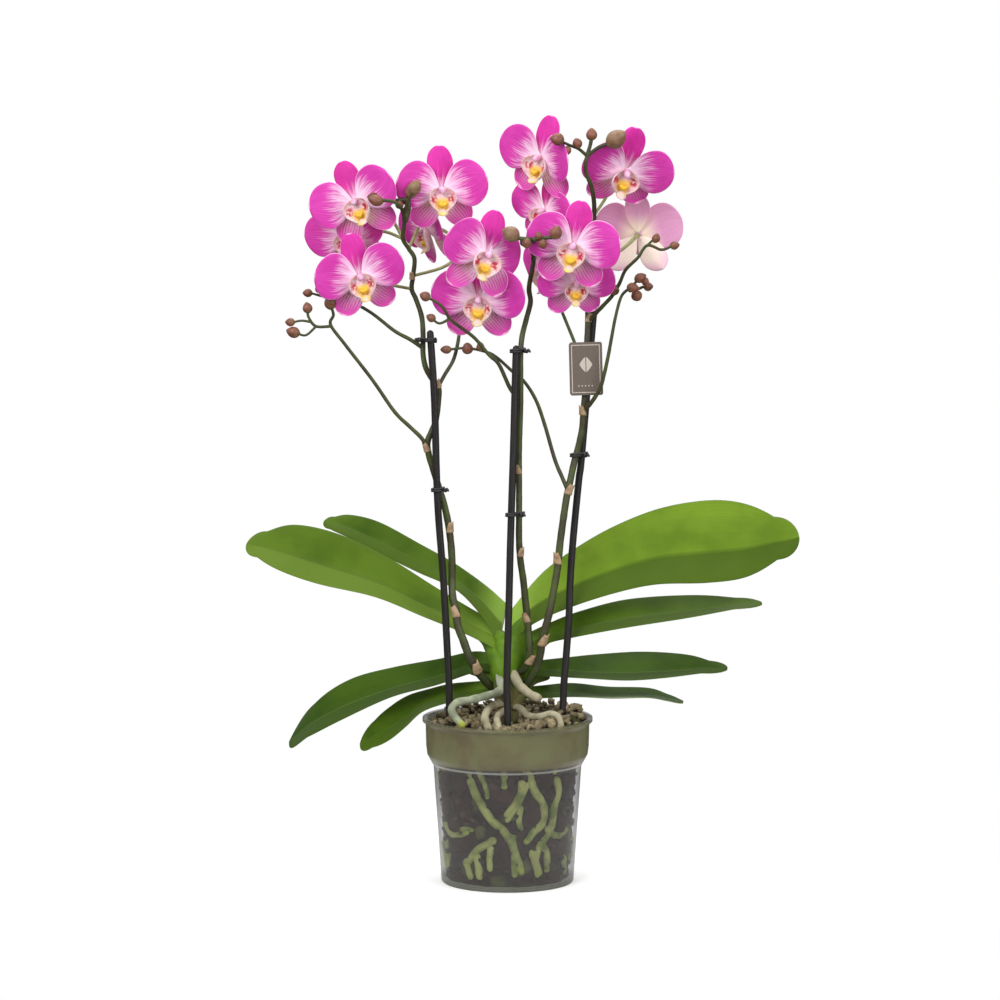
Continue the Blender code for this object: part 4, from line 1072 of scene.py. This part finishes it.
# %% Bud shape and finish
def bud_finish():
    """Reddish brown, greener at the foot."""
    finish = Finish("bud_skin", 0.45, 0.35)
    along, across = finish.skin()
    cloud = finish.noise(160.0)
    body = finish.mix(finish.rise(cloud, 0.35, 0.65), (0.24, 0.085, 0.050), (0.15, 0.060, 0.034))
    body = finish.tint(body, (0.17, 0.14, 0.05), finish.rise(along, 0.45, 0.0), 0.6)
    finish.bump(cloud, 0.12, 0.0003)
    finish.set("Coat Weight", 0.1)
    return finish.paint(body)


def bud(name, centre, length, width, way, node, look):
    """An egg along way: the radius is a sine that peaks early, with three shallow grooves."""
    turn = np.linspace(0, 2 * math.pi, 24, endpoint=False)[None, :]
    along = np.linspace(0.0, 1.0, 20)[:, None]
    part = np.clip(along, 0.01, 0.99)
    grooves = 1 - 0.07 * np.abs(np.cos(1.5 * turn)) ** 6
    radius = 0.5 * width * np.sin(math.pi * part**0.85) ** 0.62 * grooves
    way = np.array(Vector(way).normalized())
    aside = unit(np.cross(way, (0.21, 0.9, 0.33)))
    other = np.cross(way, aside)
    rings = (np.array(centre) + way * ((along - 0.5) * length)[..., None]
             + aside * (radius * np.cos(turn))[..., None] + other * (radius * np.sin(turn))[..., None])
    uv = np.stack([along + 0 * turn, turn / (2 * math.pi) + 0 * along], axis=-1)
    return closed_tube(name, rings * MM, uv, node, look)


# %% Crowded tips
# The crowded ends of the spikes: short thick twigs with small buds, in front of the open flowers.
CROWDED_TWIGS = {
    "spike_left": [
        ([(-72, -10, 465), (-69, -11, 474), (-69, -12, 483)], 2.0, 1.6),
        ([(-69, -12, 482), (-78, -13, 481), (-88, -14, 482)], 1.8, 1.3),
    ],
    "spike_middle": [
        ([(18, 2, 440), (19, -22, 447), (18, -44, 454), (16, -55, 456)], 1.9, 1.7),
        ([(16, -55, 456), (8, -57, 457), (1, -57, 459)], 1.7, 1.3),
        ([(16, -55, 456), (24, -56, 457), (32, -56, 458)], 1.7, 1.3),
    ],
    "spike_right": [
        ([(84, -7, 418), (90, -5, 419), (95, -5, 421)], 1.3, 1.0),
    ],
}
CROWDED_BUDS = {
    "spike_left": [
        ((-66, -12, 489), 14, 9.5, (0.5, -0.2, 1)), ((-75, -14, 478), 6.5, 6, (0, -0.8, -0.6)),
        ((-81, -14, 483), 6, 5, (-0.2, -0.5, 1)), ((-93, -15, 483), 9, 8, (-1, -0.2, 0.2)),
    ],
    "spike_middle": [
        ((2, -56, 460), 13, 11, (-1, -0.1, 0.5)), ((13, -57, 453.5), 7.5, 7, (-0.1, -0.5, -1)),
        ((24, -57, 453), 7, 6.5, (0.2, -0.4, -1)), ((21, -57, 459), 6, 5, (0, -0.4, 1)),
        ((33, -56, 461), 10, 9, (0.5, -0.1, 1)),
    ],
    "spike_right": [
        ((90, -7, 414.5), 8.5, 8, (0.3, -0.6, -0.6)), ((98, -6, 421), 7, 6.5, (1, -0.2, 0.1)),
        ((41, -27, 516), 7, 6, (-0.2, -0.6, -0.8)), ((96, -5, 424.5), 6, 5.5, (0.4, -0.2, 1)),
    ],
}
BUD_SKIN = bud_finish()
GREEN_BUD = plain_flesh("green_bud", (0.25, 0.16, 0.085), (0.20, 0.095, 0.06), 0.45)
GREEN_BUDS = ("spike_right_bud_4", "spike_left_bud_2", "spike_left_tip_1", "spike_middle_tip_1")
for kind, table in (("bud", BUDS), ("tip", CROWDED_BUDS)):
    for spike_name, rows in table.items():
        for k, (centre, length, width, way) in enumerate(rows):
            bud_name = f"{spike_name}_{kind}_{k + 1}"
            look = GREEN_BUD if bud_name in GREEN_BUDS else BUD_SKIN
            bud(bud_name, centre, length, width, way, spike_name, look)
for spike_name, runs in CROWDED_TWIGS.items():
    for k, (line, first, last) in enumerate(runs):
        bar(f"{spike_name}_twig_{k + 1}", line, (first, last), spike_name, SPIKE_SKIN, 30, 12,
            0.12)
print("buds:", sum(len(rows) for rows in (*BUDS.values(), *CROWDED_BUDS.values())))

# %% [markdown]
# ## Stakes
# The stakes are thin dark canes that hold the spikes up. Each bends a little, so it is a round bar along
# a line of points and not a cylinder.

# %% Stakes
STAKES = {
    "stake_left": [(-40.5, -10, 14), (-41, -10, 130), (-42, -10, 159), (-45, -10, 216), (-49, -11, 272),
                   (-51, -12, 342), (-54, -12, 391)],
    "stake_middle": [(-1, -26, 12), (0, -28, 114), (-0.5, -27, 147), (1, -26, 203), (2, -25, 245),
                     (4, -23, 308), (5, -21, 347), (6, -20, 381)],
    "stake_right": [(37.5, -10, 14), (39, -9, 124), (41, -7.5, 158), (43, -6, 186), (44, -4, 214),
                    (46, -2, 243), (50, 0, 285), (52, 1, 302), (59, 6, 387), (60.5, 7, 404),
                    (62, 8, 427)],
}
STAKE_RADIUS = 2.5


def stake_finish():
    """Nearly black, with a faint grain along the cane."""
    finish = Finish("dark_stake", 0.42, 0.22)
    along, across = finish.skin()
    where = finish.vector(finish.math("MULTIPLY", along, 0.25), finish.math("MULTIPLY", across, 9.0))
    grain = finish.rise(finish.noise(2.0, where), 0.35, 0.7)
    finish.bump(grain, 0.15, 0.0002)
    return finish.paint(finish.mix(grain, (0.014, 0.012, 0.012), (0.026, 0.023, 0.022)))


STAKE_SKIN = stake_finish()
for stake_name, line in STAKES.items():
    bar(f"{stake_name}_cane", line, (STAKE_RADIUS, STAKE_RADIUS), stake_name, STAKE_SKIN,
        60, 18, 0.01)
print("stakes:", len(STAKES))

# %% [markdown]
# ## Wire ties
# A tie is black wire wound twice round the stem and the stake, with a short twist at the end. The loop
# keeps to whichever of the two lies farther out, which is how a tight wire runs, and it climbs a little
# as it goes round.

# %% Ties
# Height, stake, spike, the way the twist points and how long it is. The tag hangs from the stem alone.
WIRE_RADIUS = 0.85
TIES = {
    "clip_left_low": (279, "stake_left", "spike_left", (1, -0.6), 7),
    "clip_left_top": (384, "stake_left", "spike_left", (-1, -0.5), 9),
    "clip_middle_low": (263, "stake_middle", "spike_middle", (1, -0.7), 7),
    "clip_middle_top": (377, "stake_middle", "spike_middle", (1, -0.5), 8),
    "clip_right_low": (303, "stake_right", "spike_right", (1, -0.8), 8),
    "clip_tag": (378, None, "spike_right", (0.2, -1), 2),
}


def at_height(line, height):
    """Where a line that climbs passes a height: x and y."""
    levels = [point[2] for point in line]
    return np.array([np.interp(height, levels, [point[axis] for point in line]) for axis in (0, 1)])


def tie_finish():
    """Black wire with a faint grain."""
    finish = Finish("black_wire", 0.45, 0.4)
    return finish.paint(finish.mix(finish.noise(500.0), (0.012, 0.010, 0.012), (0.03, 0.025, 0.028)))


TIE_SKIN = tie_finish()
for tie_name, (height, stake, stem, tail_way, tail) in TIES.items():
    run, first, last = SPIKES[stem][0]
    radius = first + (last - first) * sum(point[2] < height for point in run) / len(run)
    spots = [(at_height(run, height), radius)]
    if stake:
        spots.append((at_height(STAKES[stake], height), STAKE_RADIUS))
    middle = sum(spot for spot, _ in spots) / len(spots)
    hoops = []
    for k in range(31):
        turn = 2 * math.pi * k / 15
        way = np.array((math.cos(turn), math.sin(turn)))
        spot, reach = max(spots, key=lambda row: float((row[0] - middle) @ way) + row[1])
        hoops.append((*(spot + way * (reach + WIRE_RADIUS + 0.2)), height - 1.3 + 2.6 * k / 30))
    bar(f"{tie_name}_wrap", hoops, (WIRE_RADIUS, WIRE_RADIUS), tie_name, TIE_SKIN, 120, 8)
    out = np.array(tail_way) / np.linalg.norm(tail_way)
    knot = [(*(middle + out * (4.0 + step * tail / 9)), height + math.sin(step * 1.9) * 0.9)
            for step in range(7)]
    bar(f"{tie_name}_twist", knot, (WIRE_RADIUS * 1.3, WIRE_RADIUS), tie_name, TIE_SKIN, 40, 8)
print("ties:", len(TIES))

# %% [markdown]
# ## Care tag
# Shop plants carry a small card on a wire. This one is brown with a pale line border, a plain leaf mark
# and a row of dots, and no lettering. The marks are drawn by the finish on the card's own skin, so the
# card stays one piece.

# %% Care tag
TAG_CENTRE = (54.6, -11.0, 364.0)
TAG_TURN = (0, -1.6, -4)


def tag_finish():
    """Brown card with a thin pale border, a leaf mark and a row of dots, all drawn on its own skin."""
    finish = Finish("tag_card", 0.6, 0.3)
    along, across = finish.skin()
    x = finish.math("SUBTRACT", along, 0.5)
    z = finish.math("SUBTRACT", across, 0.5)
    edge_x = finish.math("ABSOLUTE", x)
    edge_z = finish.math("ABSOLUTE", z)
    grain = finish.noise(900.0)
    card = finish.mix(grain, (0.125, 0.098, 0.080), (0.155, 0.122, 0.10))
    outer = finish.math("MULTIPLY", finish.rise(edge_x, 0.435, 0.43), finish.rise(edge_z, 0.455, 0.45))
    inner = finish.math("MULTIPLY", finish.rise(edge_x, 0.41, 0.405), finish.rise(edge_z, 0.44, 0.435))
    border = finish.math("SUBTRACT", outer, inner)
    mark_x = finish.math("POWER", finish.math("MULTIPLY", edge_x, 3.4), 1.2)
    lift = finish.math("ABSOLUTE", finish.math("SUBTRACT", z, 0.08))
    mark_z = finish.math("POWER", finish.math("MULTIPLY", lift, 4.4), 1.2)
    mark = finish.rise(finish.math("ADD", mark_x, mark_z), 0.62, 0.58)
    rib = finish.rise(edge_x, 0.010, 0.016)
    mark = finish.math("MULTIPLY", mark, rib)
    beat = finish.math("SINE", finish.math("MULTIPLY", finish.math("ADD", x, 0.05), 62.8))
    row = finish.rise(finish.math("ABSOLUTE", finish.math("ADD", z, 0.32)), 0.014, 0.010)
    row = finish.math("MULTIPLY", finish.rise(edge_x, 0.26, 0.25), row)
    dots = finish.math("MULTIPLY", finish.rise(beat, 0.35, 0.6), row)
    ink = finish.math("MAXIMUM", border, finish.math("MAXIMUM", mark, dots))
    return finish.paint(finish.tint(card, (0.62, 0.56, 0.48), ink, 0.8))


def tag_place():
    """Where the card hangs, turned a little."""
    angles = Euler([math.radians(angle) for angle in TAG_TURN]).to_matrix().to_4x4()
    return Matrix.Translation(Vector(TAG_CENTRE)) @ angles


def tag_sheet(along, across):
    """A card with rounded corners: the half height shrinks over the last bit of each side."""
    x = (along - 0.5) * 23.2
    corner = np.clip(np.abs(x) - 10.1, 0, 1.5) / 1.5
    half = 18.6 - 1.5 * (1 - np.sqrt(np.clip(1 - corner**2, 0, 1)))
    return np.stack([x, 0.4 * np.sin(3 * along), across * half], axis=-1)


blade("care_tag_card", tag_sheet, 0.7, "care_tag", tag_finish(), 40, 40, tag_place())
print("care tag is blank but for its border and mark")

# %% [markdown]
# ## Roots
# Aerial roots are as thick as a pencil, with a silvery skin that greens when wet. Some reach into the mix
# and others run round the inside of the pot, where light keeps them green. Each is a round bar with
# uneven swellings. Those at the wall are given by side and height only, and the wall's own radius says
# how deep they lie.

# %% Roots
ROOT_AERIAL = {
    "root_aerial_1": ([(-2, 3, 137), (-5, -8, 137), (-10, -15, 135.5), (-17, -21, 134.5), (-26, -26, 133),
                       (-35, -31, 132), (-39, -35, 128), (-36, -38, 122), (-30, -41, 116)], 3.0),
    "root_aerial_2": ([(3, 3, 152), (5, -6, 147), (8, -13, 142), (13, -19, 138), (19, -24, 135),
                       (24, -26, 134)], 3.4),
    "root_aerial_3": ([(-3, 2, 127), (-8, -7, 127), (-13, -18, 125.5), (-16, -28, 121), (-14, -38, 116),
                       (-11, -44, 107)], 3.0),
    "root_aerial_4": ([(0, 3, 122), (-3, -7, 122), (-5, -17, 122), (-7.5, -27, 120), (-6, -38, 115),
                       (-3, -46, 106)], 2.7),
    "root_aerial_5": ([(4, 3, 124), (9, -7, 124), (14, -18, 121), (22, -28, 121.5), (30, -31, 124),
                       (36, -33, 121), (38, -36, 110)], 2.6),
}
ROOT_WALL = {
    "root_wall_1": ([(-26, 81), (-23, 71), (-17, 60), (-11, 51), (-4, 45), (1, 38), (6, 26),
                     (10, 12)], 2.6),
    "root_wall_2": ([(15.5, 80), (19, 71), (25, 60), (24, 48), (17, 41), (12, 34)], 2.5),
    "root_wall_3": ([(10, 80), (9, 70), (3, 60), (-2, 54)], 2.2),
    "root_wall_4": ([(-8, 38), (-14, 34), (-22, 28), (-28, 18)], 2.4),
    "root_wall_5": ([(33, 80), (35, 70), (32, 58), (30, 44), (20, 26), (22, 10)], 2.6),
}
# Outline of the pot as (radius, height): its outside upwards and its inside downwards.
POT_OUTER = [(46.0, 0.0), (46.8, 1.2), (52.2, 83.0), (56.6, 91.0), (57.4, 97.0), (57.8, 113.6),
             (60.0, 114.6), (60.0, 117.0)]
POT_WIDEST = 60.0
POT_HEIGHT = 117.0
POT_INNER = [(56.6, 117.0), (56.2, 97.0), (55.4, 91.8), (51.0, 84.0), (45.6, 2.0)]


def radius_inside(height):
    """The radius of the pot's inside at a height."""
    radii, levels = zip(*reversed(POT_INNER))
    return np.interp(height, levels, radii)


def wall_line(rows, radius):
    """Points just inside the wall of the pot, for rows of (x, height)."""
    return [(x, -math.sqrt((radius_inside(z) - 0.7 - radius) ** 2 - x * x), z) for x, z in rows]


print("the pot's inner radius at half height:", radius_inside(60.0))


# %% Root finishes
def root_finish(name, pale, green, tip):
    """Pale skin clouded with green, fine brown specks and a fresh tip."""
    finish = Finish(name, 0.75, 0.25)
    cloud = finish.noise(75.0)
    fine = finish.noise(600.0)
    body = finish.mix(finish.rise(cloud, 0.4, 0.65), pale, green)
    body = finish.tint(body, (0.30, 0.24, 0.17), finish.rise(fine, 0.5, 0.7), 0.35)
    body = finish.mix(finish.rise(finish.value("along"), 0.90, 0.97), body, tip)
    finish.bump(fine, 0.2, 0.0004)
    return finish.paint(body)


ROOT_SILVER = root_finish("root_silver", (0.34, 0.37, 0.25), (0.17, 0.20, 0.13), (0.30, 0.33, 0.05))
ROOT_BEIGE = root_finish("root_beige", (0.36, 0.33, 0.22), (0.22, 0.19, 0.12), (0.28, 0.22, 0.13))
ROOT_GREEN = root_finish("root_green", (0.33, 0.37, 0.12), (0.12, 0.17, 0.035), (0.30, 0.38, 0.07))
print("root finishes:", ROOT_SILVER.name, ROOT_BEIGE.name, ROOT_GREEN.name)

# %% Roots built
for root_name, (line, radius) in ROOT_AERIAL.items():
    look = ROOT_SILVER if root_name == "root_aerial_1" else ROOT_BEIGE
    bar(f"{root_name}_skin", line, (radius, radius * 0.85), root_name, look,
        9 * len(line), 18, 0.07)
for root_name, (rows, radius) in ROOT_WALL.items():
    bar(f"{root_name}_skin", wall_line(rows, radius), (radius * 1.25, radius), root_name,
        ROOT_GREEN, 9 * len(rows), 18, 0.07)
print("roots:", len(ROOT_AERIAL) + len(ROOT_WALL))

# %% Inner roots
# Roots seen only through the pot: (x, height) rows and a radius.
INNER_ROOTS = {
    "inner_root_1": ([(-4, 110), (-2, 96), (-2.5, 84), (-2, 73)], 3.2),
    "inner_root_2": ([(-4, 110), (3, 101), (9, 92), (15, 84), (17, 74)], 3.0),
    "inner_root_3": ([(-11, 33), (-12.5, 24), (-12, 14)], 2.6),
    "inner_root_4": ([(2.5, 42), (4.5, 28), (5, 10)], 3.2),
    "inner_root_5": ([(16, 30), (19, 20), (21, 9)], 3.2),
    "inner_root_6": ([(9, 62), (8, 50), (10, 44)], 2.4),
    "inner_root_7": ([(26, 45), (30, 40), (36, 37), (43, 41)], 2.7),
    "inner_root_8": ([(-33, 42), (-28, 43.5), (-24, 42.5)], 1.8),
    "inner_root_9": ([(14, 78), (9, 66), (3, 56), (-1, 50)], 2.2),
    "inner_root_10": ([(34, 108), (34, 98), (33, 90)], 2.2),
    "inner_root_11": ([(-35, 110), (-35, 102), (-34, 96)], 2.2),
    "inner_root_12": ([(-22, 96), (-21, 88), (-15, 74), (-14, 66)], 2.2),
    "inner_root_13": ([(22, 34), (27, 26), (27, 12)], 3.0),
    "inner_root_14": ([(-22, 27), (-20, 17), (-19, 7)], 3.4),
    "inner_root_15": ([(-29, 22), (-27, 14), (-25, 7)], 3.0),
    "inner_root_16": ([(-20, 104), (-24, 94), (-26, 84), (-25, 78)], 2.4),
    "inner_root_17": ([(22, 108), (27, 100), (32, 90), (33, 82)], 2.4),
}


def inner_root(name, line, radius):
    """A root that belongs to the growing mix, because it shows only through the pot."""
    bar(name, line, (radius, radius * 0.8), "growing_mix", ROOT_GREEN, 9 * len(line), 14,
        0.10)


for root_name, (rows, radius) in INNER_ROOTS.items():
    inner_root(root_name, wall_line(rows, radius), radius)
# The same pattern, turned round the pot, so that the sides and the back show roots as well.
for turn_number, degrees in enumerate((105, 180, 250)):
    spin = np.array(Matrix.Rotation(math.radians(degrees), 3, "Z"))
    for k, (rows, radius) in enumerate(list(INNER_ROOTS.values())[turn_number::2]):
        line = np.array(wall_line(rows, radius)) @ spin.T
        inner_root(f"inner_root_{turn_number}_{k}_turned", line, radius)
print("inner roots at the front:", len(INNER_ROOTS))

# %% [markdown]
# ## Growing mix
# The mix is chunks of brown bark with hollows between. Thousands of loose chunks would fill the pot
# exactly but weigh too much, and most would never be seen. So the body is one turned shape whose side and
# top are pushed in and out, with a layer of loose chips on its top and side.

# %% Growing mix body
MIX_LEVEL = 112.0
# Soft lumps of the surface: centre x and y, reach and height.
MIX_LUMPS = [(42.0, -4.0, 15.0, 12.0), (-36.0, -30.0, 14.0, 5.0), (10.0, 34.0, 20.0, 4.0),
             (-46.0, 6.0, 12.0, -4.0), (20.0, -38.0, 12.0, 4.0)]


def mix_height(x, y):
    """Height of the mix's surface: a level and a sum of soft lumps."""
    height = MIX_LEVEL + 1.2 * np.sin(0.21 * x + 1.0) * np.cos(0.17 * y)
    for centre_x, centre_y, reach, rise in MIX_LUMPS:
        height = height + rise * np.exp(-((x - centre_x) ** 2 + (y - centre_y) ** 2) / reach**2)
    return height


print("mix level at the middle:", mix_height(0.0, 0.0))


# %% Bark finish
def bark_finish(name, dark, mid, light, moss):
    """Each cell of a cell pattern has its own brown; a few are mossy, and the gaps between the chips get
    painted shade.
    """
    finish = Finish(name, 0.85, 0.2)
    near, tint = finish.cells(95.0)
    split = finish.tree.nodes.new("ShaderNodeSeparateColor")
    finish.tree.links.new(tint, split.inputs[0])
    fine = finish.noise(420.0)
    body = finish.mix(finish.rise(split.outputs[0], 0.3, 0.9), dark, mid)
    body = finish.tint(body, light, finish.rise(fine, 0.5, 0.75), 0.5)
    body = finish.tint(body, (0.16, 0.22, 0.05), finish.rise(split.outputs[1], 0.86, 0.9), moss)
    # Painted shade in the gaps between the chips.
    body = finish.tint(body, (0.02, 0.013, 0.010), finish.rise(near, 0.35, 0.65), 0.45)
    finish.bump(finish.math("SUBTRACT", 1.0, near), 0.5, 0.0015)
    return finish.paint(body)


# The body of the mix is nearly black: painted shade in the hollows between and behind the chips.
MIX_SKIN = bark_finish("mix_skin", (0.020, 0.013, 0.013), (0.040, 0.022, 0.022), (0.07, 0.045, 0.04), 0.3)
# The chips at the wall, inside the pot, have the bark pattern in much darker browns than the chips on top.
WALL_CHIP_SKIN = bark_finish("dark_wall_bark", (0.020, 0.014, 0.016), (0.075, 0.040, 0.044),
                             (0.14, 0.095, 0.085), 0.3)
CHIP_SKIN = bark_finish("bark_chip", (0.22, 0.18, 0.10), (0.29, 0.235, 0.135), (0.36, 0.30, 0.19), 0.10)
print("bark finishes:", MIX_SKIN.name, WALL_CHIP_SKIN.name, CHIP_SKIN.name)


# %% Growing mix built
def mix_body():
    """Rings from the middle of the top out to the side and down to the bottom."""
    turn = np.linspace(0, 2 * math.pi, 96, endpoint=False)[None, :]
    top = np.linspace(0.5, 1, 14)[:, None] ** 1.2
    edge = radius_inside(MIX_LEVEL) - 0.8
    radius = np.concatenate([0.01 + 0 * top[:1], top * edge])
    x, y = radius * np.cos(turn), radius * np.sin(turn)
    fade = np.clip((edge - radius) / 8, 0, 1)
    height = MIX_LEVEL - 1.0 + 4.0 * np.clip(y / 40, 0, 1) + (mix_height(x, y) - MIX_LEVEL) * fade
    top_rings = np.stack([x, y, height], axis=-1)
    levels = np.linspace(MIX_LEVEL - 3, 3.2, 60)[:, None]
    bumps = 0.5 + 0.5 * np.sin(9 * turn + 0.11 * levels * 3) * np.cos(0.19 * levels + 4 * np.sin(3 * turn))
    reach = radius_inside(levels) - 2.0 - 2.0 * bumps
    side = np.stack([reach * np.cos(turn), reach * np.sin(turn), levels + 0 * turn], axis=-1)
    rings = np.concatenate([top_rings, side])
    place = np.linspace(0, 1, len(rings))[:, None]
    uv = np.stack([place + 0 * turn, turn / 6.2832 + 0 * place], axis=-1)
    return closed_tube("mix_body", rings * MM, uv, "growing_mix", MIX_SKIN)


mix_body()
print("the body of the mix is built")


# %% Bark chips
def chip_cloud(name, centres, sizes, look, squash=0.5):
    """Many bark chips as one piece: each is a small closed tube with square shoulders, roughened and
    turned its own way."""
    count = len(centres)
    rows, around = 6, 8
    along = np.linspace(0.02, 0.98, rows)[:, None]
    turn = np.linspace(0, 2 * math.pi, around, endpoint=False)[None, :]
    radius = np.sin(math.pi * along) ** 0.45 * (1 + 0 * turn)
    length = (2 * along - 1) * np.ones_like(turn)
    shape = np.stack([radius * np.cos(turn), radius * np.sin(turn), length], axis=-1)
    shape = np.sign(shape) * np.abs(shape) ** 0.8
    rough = 1 + 0.22 * rng.standard_normal((count, rows, around, 1))
    blocks = shape[None] * rough * np.array((0.62, squash, 1.0)) * sizes[:, None, None, None]
    turns = rng.uniform(-math.pi, math.pi, (count, 3))
    spins = np.array([np.array(Euler(row).to_matrix()) for row in turns.tolist()])
    rings = np.einsum("crad,ced->crae", blocks, spins) + centres[:, None, None, :]
    ends = np.stack([rings[:, 0].mean(axis=1), rings[:, -1].mean(axis=1)], axis=1)
    points = np.concatenate([rings.reshape(count, -1, 3), ends], axis=1)
    quads = tube_quads(rows, around)[None] + np.arange(count)[:, None, None] * points.shape[1]
    points = points.reshape(-1, 3) * MM
    uv = np.zeros((len(points), 2))
    return make_piece(name, points, quads.reshape(-1, 4), uv, "growing_mix", look)


TOP_CHIPS = 260
WALL_CHIPS = 420
# A step of this angle, as in a sunflower, never lines the chips up.
GOLDEN_TURN = 2.39996


def surface_chips(count):
    """Centres spread evenly over the top of the mix, clear of the stem."""
    spread = np.sqrt(np.linspace(0.03, 0.97, count)) * (radius_inside(MIX_LEVEL) - 2.5)
    turn = np.arange(count) * GOLDEN_TURN
    x, y = spread * np.cos(turn), spread * np.sin(turn)
    edge = np.clip((54.5 - spread) / 4, 0, 1)
    back = 3.0 * np.clip(y / 40, 0, 1) + 2.2 * np.clip((spread - 30) / 20, 0, 1)
    z = MIX_LEVEL + 0.5 + back + (mix_height(x, y) - MIX_LEVEL) * edge + rng.uniform(-1.0, 1.4, count)
    return np.stack([x, y, z], axis=-1)


def wall_chips(count):
    """Centres spread evenly over the mix's side, just behind the wall of the pot."""
    level = 5 + 104 * (np.arange(count) + 0.5) / count
    turn = np.arange(count) * GOLDEN_TURN
    reach = radius_inside(level) - 4.2
    return np.stack([reach * np.cos(turn), reach * np.sin(turn), level], axis=-1)


chip_cloud("bark_top", surface_chips(TOP_CHIPS), rng.uniform(2.0, 4.4, TOP_CHIPS), CHIP_SKIN)
chip_cloud("bark_side", wall_chips(WALL_CHIPS), rng.uniform(2.6, 4.2, WALL_CHIPS), WALL_CHIP_SKIN)
print("growing mix: a body and", TOP_CHIPS + WALL_CHIPS, "chips")

# %% [markdown]
# ## The pot
# The pot is thin clear plastic. Its upper band is frosted and olive grey; below the ledge the wall is
# clear with a faint haze, so the bark and the roots show. True refraction would be slow and noisy in so
# thin a wall, so the plastic is partly see-through instead. One profile turned about the axis covers the
# outside, the lip and the inside.


# %% Pot
def pot_finish():
    """Clear below the ledge and frosted above it. The haze lies on the outer skin only, so that one
    thin grey veil stands before the roots, and it thickens where the wall turns away."""
    finish = Finish("clear_plastic", 0.3, 0.22)
    height = finish.height()
    haze = finish.noise(22.0)
    mottle = finish.rise(finish.noise(48.0), 0.35, 0.7)
    band = finish.rise(height, 0.0855, 0.0885)
    edge = finish.tree.nodes.new("ShaderNodeLayerWeight")
    edge.inputs["Blend"].default_value = 0.35
    rim_light = finish.math("POWER", edge.outputs["Facing"], 2.0)
    clear = finish.mix(haze, (0.130, 0.127, 0.122), (0.095, 0.092, 0.085))
    clear = finish.mix(rim_light, clear, (0.28, 0.28, 0.265))
    frosted = finish.mix(mottle, (0.155, 0.155, 0.080), (0.125, 0.105, 0.060))
    foot = finish.rise(height, 0.008, 0.0)
    # Painted highlight: a pale line along the shoulder of the ledge, which also makes the plastic a little
    # less clear there.
    ledge_foot, ledge_top = finish.rise(height, 0.0838, 0.0846), finish.rise(height, 0.0862, 0.0854)
    ledge = finish.math("MULTIPLY", ledge_foot, ledge_top)
    body = finish.mix(band, clear, frosted)
    body = finish.tint(body, (0.060, 0.070, 0.030), foot, 0.8)
    body = finish.mix(ledge, body, (0.30, 0.30, 0.27))
    veil = finish.math("MULTIPLY_ADD", haze, 0.30, 0.16)
    veil = finish.math("ADD", veil, finish.math("MULTIPLY", rim_light, 0.75))
    veil = finish.math("ADD", veil, finish.math("MULTIPLY", finish.math("ADD", foot, ledge), 0.35))
    veil = finish.math("MULTIPLY_ADD", band, 0.12, veil)
    veil = finish.math("MULTIPLY", veil, finish.value("outer"))
    cover = finish.math("MINIMUM", finish.math("MULTIPLY_ADD", band, 0.38, veil), 0.95)
    finish.tree.links.new(cover, finish.shader.inputs["Alpha"])
    return finish.paint(body)


print("the pot's finish is ready")


# %% Pot built
def pot_body():
    """The profile runs from the middle of the floor inside, up, over the lip and down to the foot."""
    floor_inside = [(0.5, 2.0), (20, 2.0), (40, 2.0), (45.4, 2.1)]
    lip = [(57.2, 117.3), (59.2, 117.3)]
    foot = [(45.2, 0.0), (30, 0.0), (0.5, 0.0)]
    profile = np.array(floor_inside + POT_INNER[-2::-1] + lip + POT_OUTER[::-1] + foot, float)
    steps = np.concatenate([[0], np.cumsum(np.linalg.norm(np.diff(profile, axis=0), axis=1))])
    fine = np.unique(np.concatenate([steps, np.linspace(0, steps[-1], 120)]))
    radius = np.interp(fine, steps, profile[:, 0])[:, None]
    level = np.interp(fine, steps, profile[:, 1])[:, None]
    turn = np.linspace(0, 2 * math.pi, 128, endpoint=False)[None, :]
    radius = np.minimum(radius, POT_WIDEST)
    level = np.minimum(level, POT_HEIGHT)
    rings = np.stack([radius * np.cos(turn), radius * np.sin(turn), level + 0 * turn], axis=-1)
    uv = np.stack([fine[:, None] / steps[-1] + 0 * turn, turn / (2 * math.pi) + 0 * radius], axis=-1)
    outer = (fine[:, None] > steps[-1] * 0.5) + 0.0 * turn
    return closed_tube("pot_body", rings * MM, uv, "pot", pot_finish(), {"outer": outer})


pot_body()
print("pot is built")
